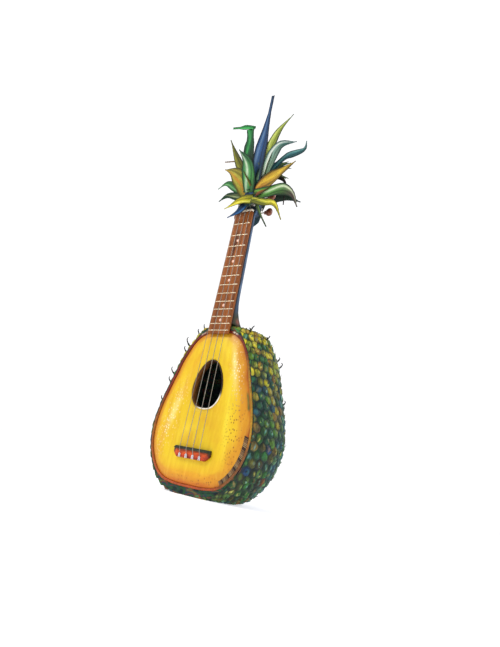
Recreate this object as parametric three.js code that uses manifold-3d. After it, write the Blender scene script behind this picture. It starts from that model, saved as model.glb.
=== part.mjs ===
// A ukulele whose body is a pineapple: a hollow rind with its front sliced off, a soundboard let into the
// cut, a fretted neck with its head hidden in a crown of leaves, and four geared tuners.
// Millimetres. +Z runs up the neck, the soundboard faces -Y, and the origin is the middle of the flat base.
import * as THREE from "three";
import { mergeVertices } from "three/addons/utils/BufferGeometryUtils.js";
import Module from "manifold-3d";

const wasm = await Module();
wasm.setup();

// ---- Driving dimensions ----
const GAP = 0.3; // between glued or touching faces
const SCALE_LENGTH = 412; // nut to saddle
const FRET_COUNT = 13;
const SADDLE_Z = 67.7;
const NUT_Z = SADDLE_Z + SCALE_LENGTH;

const DEPTH_RATIO = 0.95; // the body is a little shallower than it is wide
const WALL = 5;
const SEAM_Y = 15; // the rind is made in two: sides in front of this plane and a dished back behind it
const FACE_Y = -43; // the plane the pineapple is sliced on
const FLANGE = 6; // thickness of the rind's front rim
const BODY_TOP = 275;
const RIND_PROFILE = [
  [38, 0], [56, 3.5], [71, 10], [88, 27], [105.5, 60], [112, 97],
  [106, 138], [94.5, 179], [82, 220], [67, 250], [57, 266], [44, 273.5],
]; // radius, height
const TOP_FLAT_RADIUS = 36;

// Half-width and height up the right side, from the bottom centre to the top centre.
const FACE_OUTLINE = [
  [0, 12], [34, 13], [60, 19], [80, 36], [95, 63], [100.5, 98],
  [94.5, 138], [81.5, 179], [67, 219], [50, 248], [30, 262], [0, 266],
];
const HOLE_OUTLINE = [
  [0, 132], [17, 136], [28, 150], [30.5, 168], [26, 188], [16, 205], [7, 212], [0, 213.5],
];
const BINDING_WIDTH = 4;
const BINDING_DEPTH = 5.8;
const TOP_BACK_Y = -38;
const TOP_CROWN_Y = -45.5; // the flat middle of the soundboard
const HOLE_RING_WALL = 2.2;
const HOLE_RING_BACK_Y = -34;
const HOLE_RING_DEPTH = 12.4;

const HEAD_BLOCK_BOTTOM = 236;
const BOLT_Y = -19.5;
const BOLT_RADIUS = 2.5;
const BOLT_TOP = 285;
const WASHER_THICKNESS = 1.2;

const NECK_FRONT_Y = -45.5;
const BOARD_BACK_Y = NECK_FRONT_Y - GAP;
const BOARD_FRONT_Y = -50.5;
const BOARD_END_Z = 257;
const HALF_WIDTH_NUT = 18;
const HALF_WIDTH_BODY = 22;
const FRET_HEIGHT = 0.8;
const FRET_WIDTH = 2;
const NUT_THICKNESS = 4;

const STRING_RADII = [0.4, 0.5, 0.55, 0.45];
const STRING_NUT_Y = -52.6;
const STRING_SADDLE_Y = -56.2;
const STRING_X_NUT = [-13.8, -4.6, 4.6, 13.8];
const STRING_X_SADDLE = [-20.4, -6.8, 6.8, 20.4];

const BRIDGE_HALF_WIDTH = 36.5;
const BRIDGE_BOTTOM_Z = 54;
const BRIDGE_TOP_Z = 71;
const BRIDGE_FRONT_Y = -52;
const SADDLE_HALF_WIDTH = 34;
const SADDLE_THICKNESS = 2.4;

const HEAD_FRONT_Y = -44.5;
const HEAD_BACK_Y = -30.5;
const HEAD_FOOT_Z = NUT_Z - 1.7;
const HEAD_TOP_Z = NUT_Z + 79.3;
// Half-width, and height above the nut.
const HEAD_OUTLINE = [
  [18.5, -1.7], [19.5, 3.3], [22, 10.3], [22.5, 22.3], [22.5, 48.3], [21.5, 56.3], [19.5, 62.3],
  [19, 73.3], [15, 78.3], [8, 79.3], [0, 79.3],
].map(([x, up]) => [x, NUT_Z + up]);

const POST_X = 12.5;
const POST_Z = { low: NUT_Z + 16.3, high: NUT_Z + 48.3 };
const POST_RADIUS = 3;
const POST_FRONT_Y = -57;
const GEAR_TEETH = 14;
const GEAR_RADIUS = 5.2;
const GEAR_Y = -25.6; // middle of the gear, and the worm's height
const WORM_RADIUS = 2.2;
const WORM_DROP = GEAR_RADIUS + WORM_RADIUS + 0.4;
const SHAFT_RADIUS = 1.2;
const SHAFT_INNER_X = POST_X - 7;
const SHAFT_OUTER_X = 33;
const BUTTON_X = 25.5; // inner face of a tuner button
const PLATE_THICKNESS = 1;
const COIL_Y = -49.5; // where a string meets its post

// The crown's core slips over the top of the head; leaf clusters sit on its front, its top and its back.
const CORE_BOTTOM = HEAD_TOP_Z - 16;
const CORE_TOP = HEAD_TOP_Z + 22;
const CORE_Y = -37.5;
const CORE_FRONT_Y = -59.4;
const CORE_BACK_Y = -15.6;
const PIN_Z = HEAD_TOP_Z - 8;
const LEAF_THICKNESS = 1.8;
const LEAF_STEPS = 7;
const BASE_DEPTH = 3.9; // thickness of the plates that the front and back leaves grow from

const MATERIALS = {
  rind: material(0x3d5a2c, 0.75),
  soundboard: material(0xf2b81c, 0.4),
  binding: material(0x9a3212, 0.45),
  innerWood: material(0xc8a26a, 0.8),
  holeLiner: material(0x8a5a20, 0.6),
  neck: material(0x2a3b52, 0.4),
  fretboard: material(0x7c4424, 0.55),
  metal: material(0xc8c5bb, 0.3, 1),
  bone: material(0xece3cd, 0.5),
  bridge: material(0xb8431a, 0.5),
  saddle: material(0x1f2a20, 0.45),
  string: material(0xd5d0c4, 0.35),
  button: material(0xe3c3ae, 0.35),
  leaf: material(0x4f7a3a, 0.6),
  core: material(0x4a4a28, 0.8),
};

const ukulele = new THREE.Group();

// ---- Helpers ----
function material(color, roughness, metalness = 0) {
  return new THREE.MeshStandardMaterial({ color, roughness, metalness });
}

function add(name, geometry, finish) {
  const mesh = new THREE.Mesh(geometry, MATERIALS[finish]);
  mesh.name = name;
  ukulele.add(mesh);
  return mesh;
}

// A three.js geometry as a manifold-3d solid, with its faces turned outwards.
function solid(geometry) {
  const bare = geometry.index ? geometry.toNonIndexed() : geometry.clone();
  bare.deleteAttribute("normal");
  bare.deleteAttribute("uv");
  const merged = mergeVertices(bare, 1e-3);
  const corners = merged.index.array;
  const kept = [];
  for (let i = 0; i < corners.length; i += 3) {
    const [a, b, c] = [corners[i], corners[i + 1], corners[i + 2]];
    if (a !== b && b !== c && c !== a) kept.push(a, b, c);
  }
  const build = (tris) =>
    new wasm.Manifold(
      new wasm.Mesh({
        numProp: 3,
        vertProperties: new Float32Array(merged.attributes.position.array),
        triVerts: new Uint32Array(tris),
      }),
    );
  const made = build(kept);
  return made.volume() < 0 ? build(kept.reverse()) : made;
}

function geometryOf(body) {
  const mesh = body.getMesh();
  const stride = mesh.numProp;
  const positions = new Float32Array(mesh.numVert * 3);
  for (let i = 0; i < mesh.numVert; i++) {
    positions.set(mesh.vertProperties.subarray(i * stride, i * stride + 3), i * 3);
  }
  return new THREE.BufferGeometry()
    .setAttribute("position", new THREE.BufferAttribute(positions, 3))
    .setIndex(new THREE.BufferAttribute(new Uint32Array(mesh.triVerts), 1));
}

const join = (...bodies) => bodies.reduce((a, b) => a.add(b));
const cut = (body, ...tools) => tools.reduce((a, b) => a.subtract(b), body);

// A box between two corners.
function box(x0, y0, z0, x1, y1, z1) {
  return new THREE.BoxGeometry(Math.abs(x1 - x0), Math.abs(y1 - y0), Math.abs(z1 - z0))
    .translate((x0 + x1) / 2, (y0 + y1) / 2, (z0 + z1) / 2);
}

// A rod along an axis ("x", "y" or "z") centred on a point.
function rod(axis, radius, length, [x, y, z], sides = 20) {
  const geometry = new THREE.CylinderGeometry(radius, radius, length, sides);
  if (axis === "x") geometry.rotateZ(-Math.PI / 2);
  if (axis === "z") geometry.rotateX(Math.PI / 2);
  return geometry.translate(x, y, z);
}

// A turned body: its profile is [radius, distance along the axis].
function turned(axis, profile, sides = 20) {
  const geometry = new THREE.LatheGeometry(profile.map(([r, h]) => new THREE.Vector2(r, h)), sides);
  if (axis === "x") geometry.rotateZ(-Math.PI / 2);
  if (axis === "z") geometry.rotateX(Math.PI / 2);
  return geometry;
}

// A flat shape drawn in X and Z, running from backY towards the front by depth.
function plate(outline, backY, depth, holes = []) {
  const shape = new THREE.Shape(outline);
  shape.holes = holes.map((hole) => new THREE.Path(hole));
  const geometry = new THREE.ExtrudeGeometry(shape, { depth, bevelEnabled: false });
  return geometry.rotateX(Math.PI / 2).translate(0, backY, 0);
}

// A body through rings of equal numbers of points, with both ends closed.
function loft(rings) {
  const count = rings[0].length;
  const points = rings.flat();
  const middle = (ring) => {
    return ring.reduce((sum, p) => sum.add(p), new THREE.Vector3()).divideScalar(count);
  };
  points.push(middle(rings[0]), middle(rings[rings.length - 1]));
  const last = (rings.length - 1) * count;
  const indices = [];
  for (let j = 0; j < count; j++) {
    const k = (j + 1) % count;
    for (let i = 0; i < rings.length - 1; i++) {
      const [a, b] = [i * count, (i + 1) * count];
      indices.push(a + j, b + j, a + k, a + k, b + j, b + k);
    }
    indices.push(points.length - 2, j, k, points.length - 1, last + k, last + j);
  }
  const geometry = new THREE.BufferGeometry().setFromPoints(points);
  geometry.setIndex(indices);
  return geometryOf(solid(geometry));
}

// A smooth closed outline from the points of its right side, mirrored about X = 0.
function mirrored(side, count) {
  const left = side.slice(1, -1).reverse().map(([x, z]) => [-x, z]);
  const loop = [...side, ...left].map(([x, z]) => new THREE.Vector3(x, z, 0));
  const curve = new THREE.CatmullRomCurve3(loop, true, "centripetal");
  return curve.getPoints(count).slice(0, -1).map((p) => new THREE.Vector2(p.x, p.y));
}

// An outline moved inwards (or outwards, for a negative distance).
function inset(outline, distance) {
  return outline.map((p, i) => {
    const before = outline[(i + outline.length - 1) % outline.length];
    const after = outline[(i + 1) % outline.length];
    const along = after.clone().sub(before).normalize();
    return new THREE.Vector2(p.x - along.y * distance, p.y + along.x * distance);
  });
}

const atY = (outline, y) => outline.map((p) => new THREE.Vector3(p.x, y, p.y));
const postPlaces = [
  { name: "low_left", x: -POST_X, z: POST_Z.low },
  { name: "high_left", x: -POST_X, z: POST_Z.high },
  { name: "high_right", x: POST_X, z: POST_Z.high },
  { name: "low_right", x: POST_X, z: POST_Z.low },
]; // in the order of the strings
const lerp = THREE.MathUtils.lerp;
const fretZ = (n) => SADDLE_Z + SCALE_LENGTH * 2 ** (-n / 12);
const boardHalfWidth = (z) =>
  lerp(HALF_WIDTH_BODY, HALF_WIDTH_NUT, (z - BOARD_END_Z) / (NUT_Z - BOARD_END_Z));

// ---- Body ----
const face = mirrored(FACE_OUTLINE, 48);
const hole = mirrored(HOLE_OUTLINE, 30);

// The pineapple as a turned solid, moved in from its skin by a distance.
function pineapple(distance) {
  const curve = new THREE.SplineCurve(RIND_PROFILE.map(([r, z]) => new THREE.Vector2(r, z)));
  const skin = curve.getPoints(16).map((p) => [
    p.x - distance,
    THREE.MathUtils.clamp(p.y, distance, BODY_TOP - distance),
  ]);
  const profile = [
    [0, distance],
    ...skin,
    [TOP_FLAT_RADIUS - distance, BODY_TOP - distance],
    [0, BODY_TOP - distance],
  ];
  return solid(turned("z", profile, 36).scale(1, DEPTH_RATIO, 1));
}

const cavity = pineapple(WALL);
const behind = (y) => solid(box(-200, y, -50, 200, 200, 350));
const boltHole = (radius) => solid(rod("z", radius, 90, [0, BOLT_Y, BODY_TOP], 16));

function rindShell() {
  const sliced = pineapple(0).intersect(behind(FACE_Y));
  const hollow = cavity.intersect(behind(FACE_Y + FLANGE));
  const opening = solid(plate(inset(face, -GAP), FACE_Y + FLANGE + 1, 40));
  return cut(sliced, hollow, opening, boltHole(BOLT_RADIUS + 0.4));
}

function soundboard() {
  const edge = inset(face, BINDING_WIDTH + GAP);
  const layers = [
    [0, TOP_BACK_Y], [0, -41.8], [2.5, -43.4], [8, -44.7], [17, TOP_CROWN_Y],
  ]; // distance in from the edge, and height
  const blank = solid(loft(layers.map(([d, y]) => atY(inset(edge, d), y))));
  return cut(blank, solid(plate(inset(hole, -GAP), 0, 80)));
}

function lining() {
  const ring = plate(inset(face, 1.8), FACE_Y + FLANGE + 9, 9.7, [inset(face, 10)]);
  return solid(ring).intersect(pineapple(WALL + GAP));
}

const shell = rindShell();
const inFront = (y) => solid(box(-200, -100, -50, 200, y, 350));
add("rind_sides", geometryOf(shell.intersect(inFront(SEAM_Y - GAP / 2))), "rind");
add("rind_back", geometryOf(shell.intersect(behind(SEAM_Y + GAP / 2))), "rind");
add("soundboard", geometryOf(soundboard()), "soundboard");
add("edge_binding", plate(face, TOP_BACK_Y, BINDING_DEPTH, [inset(face, BINDING_WIDTH)]), "binding");
const holeRing = plate(hole, HOLE_RING_BACK_Y, HOLE_RING_DEPTH, [inset(hole, HOLE_RING_WALL)]);
add("soundhole_liner", holeRing, "holeLiner");
add("top_lining", geometryOf(lining()), "innerWood");

// ---- Blocks and braces inside the body ----
const braceFrontY = TOP_BACK_Y + GAP;
add("upper_brace", box(-48, braceFrontY, 220, 48, -29, 227), "innerWood");
add("lower_brace", box(-82, braceFrontY, 112, 82, -29, 119), "innerWood");
add("bridge_plate", box(-46, braceFrontY, 48, 46, -35.5, 84), "innerWood");
add("tail_block", box(-24, -27.5, WALL + GAP, 24, 4, 38), "innerWood");
const headBlock = solid(box(-22, -27.5, HEAD_BLOCK_BOTTOM, 22, 4, BODY_TOP - WALL - GAP));
add("head_block", geometryOf(cut(headBlock, boltHole(BOLT_RADIUS + 0.4))), "innerWood");

// A bent rib that follows the inside of the back.
function backBrace(z, height) {
  const radius = 100.3;
  const band = new THREE.Shape();
  band.absellipse(0, 0, radius, radius * DEPTH_RATIO, 0.5, Math.PI - 0.5, false);
  band.absellipse(0, 0, radius - 8, (radius - 8) * DEPTH_RATIO, Math.PI - 0.5, 0.5, true);
  const options = { depth: height, bevelEnabled: false, curveSegments: 16 };
  return new THREE.ExtrudeGeometry(band, options).translate(0, 0, z);
}
add("back_brace", backBrace(128, 7), "innerWood");

// ---- Neck, fretboard, frets and nut ----
// The neck's section: flat in front, round behind.
function neckRing(z, halfWidth, depth) {
  const ring = [];
  const steps = 12;
  for (let i = 0; i <= steps; i++) {
    const angle = (Math.PI * i) / steps;
    const x = halfWidth * Math.cos(angle);
    const y = NECK_FRONT_Y + depth * Math.sin(angle) ** 0.7;
    ring.push(new THREE.Vector3(x, y, z));
  }
  return ring;
}

function neck() {
  const heelZ = BODY_TOP + GAP;
  const stations = [
    [heelZ, 52], [279, 45], [284, 37], [290, 31], [299, 24], [311, 19.5], [326, 17.5],
    [NUT_Z, 15], [NUT_Z + 10.3, 14.5],
  ]; // height, depth
  const rings = stations.map(([z, depth]) => neckRing(z, boardHalfWidth(Math.min(z, NUT_Z)), depth));
  const ledgeZ = NUT_Z + NUT_THICKNESS + 1;
  const aboveNut = solid(box(-40, NECK_FRONT_Y - 1, ledgeZ, 40, HEAD_FRONT_Y, ledgeZ + 20));
  const outline = mirrored([[0, HEAD_FOOT_Z], ...HEAD_OUTLINE], 40);
  const paddle = plate(outline, HEAD_BACK_Y, HEAD_BACK_Y - HEAD_FRONT_Y);
  const posts = postPlaces.map(({ x, z }) => solid(rod("y", POST_RADIUS + 0.4, 60, [x, -37, z], 16)));
  const threaded = solid(rod("z", BOLT_RADIUS + GAP, 20, [0, BOLT_Y, BOLT_TOP - 9], 16));
  const shaft = cut(solid(loft(rings)), aboveNut);
  return cut(join(shaft, solid(paddle)), ...posts, threaded, crownPinHole());
}

add("neck", geometryOf(neck()), "neck");
const boardOutline = [
  [-boardHalfWidth(BOARD_END_Z), BOARD_END_Z],
  [boardHalfWidth(BOARD_END_Z), BOARD_END_Z],
  [HALF_WIDTH_NUT, NUT_Z],
  [-HALF_WIDTH_NUT, NUT_Z],
].map(([x, z]) => new THREE.Vector2(x, z));
add("fretboard", plate(boardOutline, BOARD_BACK_Y, BOARD_BACK_Y - BOARD_FRONT_Y), "fretboard");

for (let n = 1; n <= FRET_COUNT; n++) {
  const z = fretZ(n);
  const half = boardHalfWidth(z) - 0.3;
  const front = BOARD_FRONT_Y - GAP;
  const wire = box(-half, front, z - FRET_WIDTH / 2, half, front - FRET_HEIGHT, z + FRET_WIDTH / 2);
  add(`fret_${String(n).padStart(2, "0")}`, wire, "metal");
}
const nutFront = STRING_NUT_Y + Math.max(...STRING_RADII) + 0.5;
const nutTop = NUT_Z + NUT_THICKNESS;
add("nut", box(-HALF_WIDTH_NUT, BOARD_BACK_Y, NUT_Z + GAP, HALF_WIDTH_NUT, nutFront, nutTop), "bone");

// ---- Neck bolt ----
// It holds the heel from inside the body, through the head block and the top of the rind.
function neckBolt() {
  const headTop = HEAD_BLOCK_BOTTOM - WASHER_THICKNESS - 2 * GAP;
  const length = BOLT_TOP - headTop + 1;
  const shank = solid(rod("z", BOLT_RADIUS, length, [0, BOLT_Y, BOLT_TOP - length / 2], 16));
  const head = solid(rod("z", 5, 4, [0, BOLT_Y, headTop - 2], 6));
  return join(shank, head);
}
function neckBoltWasher() {
  const [inner, outer, t] = [BOLT_RADIUS + 0.4, 7.5, WASHER_THICKNESS];
  const profile = [[inner, 0], [outer, 0], [outer, t], [inner, t], [inner, 0]];
  return turned("z", profile, 20).translate(0, BOLT_Y, HEAD_BLOCK_BOTTOM - GAP - t);
}
add("neck_bolt", geometryOf(neckBolt()), "metal");
add("neck_bolt_washer", neckBoltWasher(), "metal");

// ---- Bridge, saddle and strings ----
function bridge() {
  const back = TOP_CROWN_Y - GAP;
  const outline = [
    [-BRIDGE_HALF_WIDTH, BRIDGE_TOP_Z], [-BRIDGE_HALF_WIDTH, BRIDGE_TOP_Z - 7],
    [-BRIDGE_HALF_WIDTH + 6, BRIDGE_BOTTOM_Z], [BRIDGE_HALF_WIDTH - 6, BRIDGE_BOTTOM_Z],
    [BRIDGE_HALF_WIDTH, BRIDGE_TOP_Z - 7], [BRIDGE_HALF_WIDTH, BRIDGE_TOP_Z],
  ].map(([x, z]) => new THREE.Vector2(x, z));
  const block = solid(plate(outline, back, back - BRIDGE_FRONT_Y));
  const w = SADDLE_HALF_WIDTH + GAP;
  const t = SADDLE_THICKNESS / 2 + GAP;
  return cut(block, solid(box(-w, -48.5, SADDLE_Z - t, w, -70, SADDLE_Z + t)));
}
add("bridge", geometryOf(bridge()), "bridge");
const saddleHalf = SADDLE_THICKNESS / 2;
const saddleFront = STRING_SADDLE_Y + Math.max(...STRING_RADII) + 1.1;
const [saddleLow, saddleHigh] = [SADDLE_Z - saddleHalf, SADDLE_Z + saddleHalf];
const saddleBar = box(-SADDLE_HALF_WIDTH, -48.8, saddleLow, SADDLE_HALF_WIDTH, saddleFront, saddleHigh);
add("saddle", saddleBar, "saddle");

// A string as a six-sided tube that bends at the bridge's edge, the saddle, the nut and the post.
function stringTube(index) {
  const { x, z } = postPlaces[index];
  const radius = STRING_RADII[index];
  const side = Math.sign(x);
  const away = POST_RADIUS + GAP + 2 * radius;
  const sx = STRING_X_SADDLE[index];
  const nx = STRING_X_NUT[index];
  const path = [
    [sx, -52.9, 57], [sx, -53.2, 62], [sx, STRING_SADDLE_Y, SADDLE_Z],
    [nx, STRING_NUT_Y, NUT_Z + NUT_THICKNESS / 2],
    [x - side * away, COIL_Y, z - 1], [x - side * away, COIL_Y, z + 4],
  ].map((p) => new THREE.Vector3(...p));
  const sides = 6;
  const rings = path.map((p, i) => {
    const before = path[Math.max(i - 1, 0)];
    const after = path[Math.min(i + 1, path.length - 1)];
    const along = after.clone().sub(before).normalize();
    const across = new THREE.Vector3(1, 0, 0).cross(along).normalize();
    const other = along.clone().cross(across);
    return Array.from({ length: sides }, (_, k) => {
      const a = (2 * Math.PI * k) / sides;
      const [u, v] = [radius * Math.cos(a), radius * Math.sin(a)];
      return p.clone().addScaledVector(across, u).addScaledVector(other, v);
    });
  });
  return loft(rings);
}
STRING_RADII.forEach((_, i) => add(`string_${i + 1}`, stringTube(i), "string"));

// ---- Tuners ----
function tunerPlate(side) {
  const back = HEAD_BACK_Y + GAP;
  const places = postPlaces.filter((p) => Math.sign(p.x) === side);
  const zs = places.map((p) => p.z);
  const [bottom, top] = [Math.min(...zs) - 13, Math.max(...zs) + 8];
  const [inner, outer] = [POST_X - 6.5, POST_X + 7];
  const strip = solid(box(side * inner, back, bottom, side * outer, back + PLATE_THICKNESS, top));
  const bores = places.map(({ x, z }) => solid(rod("y", POST_RADIUS + 0.4, 20, [x, back, z], 16)));
  const ear = (x, z) => solid(box(side * x, back, z - 2.8, side * (x + 1.4), GEAR_Y + 3.2, z + 2.8));
  const bore = (z) => solid(rod("x", SHAFT_RADIUS + 0.3, 60, [side * POST_X, GEAR_Y, z], 12));
  const ears = zs.flatMap((z) => [POST_X - 5.8, POST_X + 5.6].map((x) => ear(x, z - WORM_DROP)));
  const shafts = zs.map((z) => bore(z - WORM_DROP));
  return cut(join(cut(strip, ...bores), ...ears), ...shafts);
}

function stringPost({ x, z }) {
  const teeth = Array.from({ length: GEAR_TEETH * 2 }, (_, i) => {
    const radius = i % 2 ? GEAR_RADIUS : GEAR_RADIUS - 1;
    const angle = (Math.PI * i) / GEAR_TEETH;
    return new THREE.Vector2(radius * Math.cos(angle), radius * Math.sin(angle));
  });
  const gear = new THREE.ExtrudeGeometry(new THREE.Shape(teeth), { depth: 4, bevelEnabled: false });
  gear.rotateX(Math.PI / 2).translate(x, GEAR_Y + 2, z);
  const length = GEAR_Y + 3 - POST_FRONT_Y;
  const shaft = rod("y", POST_RADIUS, length, [x, POST_FRONT_Y + length / 2, z], 18);
  const eye = rod("x", 0.8, 12, [x, COIL_Y - 3, z], 10);
  return cut(join(solid(gear), solid(shaft)), solid(eye));
}

function wormShaft({ x, z }) {
  const side = Math.sign(x);
  const profile = [[0, SHAFT_INNER_X], [SHAFT_RADIUS, SHAFT_INNER_X], [SHAFT_RADIUS, POST_X - 4]];
  for (let ridge = 0; ridge < 4; ridge++) {
    const place = POST_X - 3.2 + ridge * 2;
    profile.push([WORM_RADIUS, place], [WORM_RADIUS - 0.8, place + 1]);
  }
  profile.push([SHAFT_RADIUS, POST_X + 4.4], [SHAFT_RADIUS, SHAFT_OUTER_X], [0, SHAFT_OUTER_X]);
  const shaft = turned("x", profile, 10);
  if (side < 0) shaft.rotateZ(Math.PI);
  return shaft.translate(0, GEAR_Y, z - WORM_DROP);
}

function tunerButton({ x, z }) {
  const side = Math.sign(x);
  const profile = [
    [0, 0], [3.6, 0], [3.6, 2.5], [5.4, 5], [7.4, 8.5], [7.2, 12], [5, 14.5], [0, 15.3],
  ];
  const knob = turned("x", profile, 16).scale(1, 0.62, 1).translate(BUTTON_X, 0, 0);
  const socket = rod("x", SHAFT_RADIUS + GAP, 10, [SHAFT_OUTER_X - 4.7, 0, 0], 12);
  const body = geometryOf(cut(solid(knob), solid(socket)));
  if (side < 0) body.rotateZ(Math.PI);
  return body.translate(0, GEAR_Y, z - WORM_DROP);
}

add("tuner_plate_left", geometryOf(tunerPlate(-1)), "metal");
add("tuner_plate_right", geometryOf(tunerPlate(1)), "metal");
for (const place of postPlaces) {
  const r = POST_RADIUS + 0.4;
  const collar = turned("y", [[r, -1.6], [4.4, -1.6], [5, 0], [r, 0], [r, -1.6]], 20);
  add(`post_bushing_${place.name}`, collar.translate(place.x, HEAD_FRONT_Y - GAP, place.z), "metal");
  add(`string_post_${place.name}`, geometryOf(stringPost(place)), "metal");
  add(`worm_shaft_${place.name}`, wormShaft(place), "metal");
  add(`tuner_button_${place.name}`, tunerButton(place), "button");
}

// ---- Crown of leaves ----
// Each leaf is a spine of points and its greatest width; a cluster's leaves grow out of one base.
const FRONT_LEAVES = [
  { spine: [[14, -62, 508], [12, -69, 536], [-1, -71, 570], [-28, -68, 601]], width: 23 },
  { spine: [[5, -61.4, 528], [-21, -65, 570], [-61, -61, 634]], width: 16 },
  { spine: [[12, -61.1, 503], [-2, -67, 526], [-25, -68, 552], [-54, -65, 566]], width: 29 },
  { spine: [[24, -61.5, 494], [6, -66, 493], [-35, -64, 483]], width: 17 },
  { spine: [[16, -60.9, 491], [2, -64, 474], [-26, -61, 466]], width: 13 },
  { spine: [[20, -61.8, 494], [54, -68, 480], [77, -70, 473], [95, -68, 443]], width: 13 },
  { spine: [[24, -61.2, 502], [56, -66, 499], [84, -66, 500], [104, -64, 490], [117, -62, 466]],
    width: 23 },
  { spine: [[27, -61.6, 506], [52, -66, 519], [77, -67, 535], [98, -63, 554]], width: 27 },
  { spine: [[15, -60.7, 499], [-10, -64, 504], [-42, -62, 513]], width: 10 },
  { spine: [[13, -61.3, 504], [-16, -63, 519], [-46, -60, 538], [-69, -56, 533]], width: 13 },
  { spine: [[25, -62.3, 518], [21, -62, 563], [8, -48, 644], [-3, -36, 736]], width: 25 },
  { spine: [[30, -61.9, 525], [33, -60, 568], [38, -48, 636], [55, -38, 677]], width: 21 },
  { spine: [[30, -61.6, 517], [43, -63, 552], [55, -56, 598], [81, -48, 606]], width: 23 },
  { spine: [[31, -61, 521], [57, -58, 556], [69, -48, 578], [94, -40, 592], [93, -36, 613]],
    width: 16 },
  { spine: [[10, -61.2, 529], [-5, -61.6, 583], [-18, -56, 634], [-27, -54, 662]], width: 20 },
  { spine: [[-10, -55.4, 650], [-40, -53.5, 661], [-71, -52, 668]], width: 9 },
  { spine: [[30, -61.3, 511], [62, -60, 530], [82, -60, 519], [88, -60, 475]], width: 6 },
  { spine: [[2, -62.1, 536], [-18, -64, 576], [-60, -64, 584]], width: 6 },
  { spine: [[22, -61.4, 505], [36, -62, 481], [47, -63, 462], [63, -61, 438]], width: 6 },
];
const TOP_LEAVES = [
  { spine: [[2, -38, 583], [-4, -34, 614], [-16, -26, 650]], width: 22 },
  { spine: [[6, -36, 584], [14, -28, 614], [20, -12, 643]], width: 22 },
  { spine: [[-4, -34, 584], [-22, -24, 606], [-46, -8, 622]], width: 20 },
  { spine: [[5, -31, 585], [9, -14, 599], [10, 10, 610]], width: 18 },
];
const BACK_LEAVES = [
  { spine: [[0, -14, 542], [-20, 4, 582], [-44, 26, 620]], width: 22 },
  { spine: [[-4, -14, 527], [-50, -13, 538], [-88, -8, 551], [-110, -5, 543]], width: 14 },
  { spine: [[-4, -14, 514], [-30, 2, 528], [-62, 14, 522]], width: 20 },
  { spine: [[0, -14, 504], [-16, 2, 496], [-40, 16, 480]], width: 18 },
  { spine: [[4, -14, 532], [14, 6, 550], [-2, 32, 570]], width: 22 },
  { spine: [[4, -14, 520], [34, 2, 536], [66, 18, 528]], width: 18 },
];

function crownPinHole() {
  return solid(rod("y", 1.9, 90, [0, CORE_Y, PIN_Z], 12));
}

// A pointed blade with a shallow fold down its middle, its face towards the given normal.
function leaf({ spine, width }, normal) {
  const points = spine.map((p) => new THREE.Vector3(...p));
  const curve = new THREE.CatmullRomCurve3(points, false, "centripetal");
  const rings = [];
  for (let i = 0; i <= LEAF_STEPS; i++) {
    const t = i / LEAF_STEPS;
    const middle = curve.getPointAt(t);
    const along = curve.getTangentAt(t);
    const across = along.clone().cross(normal).normalize();
    const out = across.clone().cross(along);
    const swell = 0.25 + 0.75 * Math.sin(Math.PI * Math.min(1, 0.18 + 0.82 * t)) ** 0.8;
    const half = (width / 2) * swell * Math.min(1, (1.03 - t) * 2.6);
    const thick = (LEAF_THICKNESS / 2) * Math.min(1, 0.35 + (1 - t) * 3);
    const fold = half * 0.22;
    const section = [
      [-half, fold + thick * 0.4], [-half, fold - thick * 0.4], [0, -thick],
      [half, fold - thick * 0.4], [half, fold + thick * 0.4], [0, thick],
    ];
    const place = ([u, v]) => middle.clone().addScaledVector(across, u).addScaledVector(out, v);
    rings.push(section.map(place));
  }
  return solid(loft(rings));
}

// An upright oval plate for the front and back clusters.
function leafBase(x, z, halfWidth, halfHeight, backY, depth) {
  const oval = new THREE.Shape().absellipse(x, z, halfWidth, halfHeight, 0, 2 * Math.PI);
  return solid(plate(oval.getPoints(12).slice(0, -1), backY, depth));
}

function crownCore() {
  const profile = [
    [0, CORE_BOTTOM], [22, CORE_BOTTOM], [24.5, CORE_BOTTOM + 5], [24.5, CORE_BOTTOM + 19],
    [21, CORE_TOP - 7], [12, CORE_TOP], [0, CORE_TOP],
  ];
  const [low, high] = [CORE_BOTTOM - 10, CORE_TOP + 10];
  const egg = solid(turned("z", profile, 28).scale(1, 0.93, 1).translate(0, CORE_Y, 0));
  const slab = solid(box(-60, CORE_FRONT_Y, low, 60, CORE_BACK_Y, high));
  const slot = solid(box(-20.2, HEAD_FRONT_Y - GAP, low, 20.2, HEAD_BACK_Y + GAP, HEAD_TOP_Z + GAP));
  return cut(egg.intersect(slab), slot, crownPinHole());
}

function leafCluster(base, leaves, normal) {
  return join(base, ...leaves.map((item) => leaf(item, new THREE.Vector3(...normal))));
}

const frontBase = leafBase(14, 526, 22, 44, CORE_FRONT_Y - GAP, BASE_DEPTH);
const backBase = leafBase(0, 535, 16, 44, CORE_BACK_Y + GAP + BASE_DEPTH, BASE_DEPTH);
const topProfile = [
  [0, CORE_TOP + GAP], [12, CORE_TOP + GAP], [10, CORE_TOP + 5], [5, CORE_TOP + 8], [0, CORE_TOP + 8],
];
const topBase = solid(turned("z", topProfile, 20).scale(1, 0.93, 1).translate(0, CORE_Y, 0));
add("crown_core", geometryOf(crownCore()), "core");
add("crown_pin", rod("y", 1.6, 42, [0, CORE_Y, PIN_Z], 12), "metal");
add("crown_front_leaves", geometryOf(leafCluster(frontBase, FRONT_LEAVES, [0, -1, 0])), "leaf");
const overCore = solid(box(-34, -70, CORE_BOTTOM, 34, 0, CORE_TOP + GAP));
add("crown_top_leaves", geometryOf(cut(leafCluster(topBase, TOP_LEAVES, [0, -1, 0]), overCore)), "leaf");
add("crown_back_leaves", geometryOf(leafCluster(backBase, BACK_LEAVES, [0, 1, 0.4])), "leaf");

export default ukulele;
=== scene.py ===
import math

import bpy
import numpy as np
from mathutils import Matrix, Vector


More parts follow.
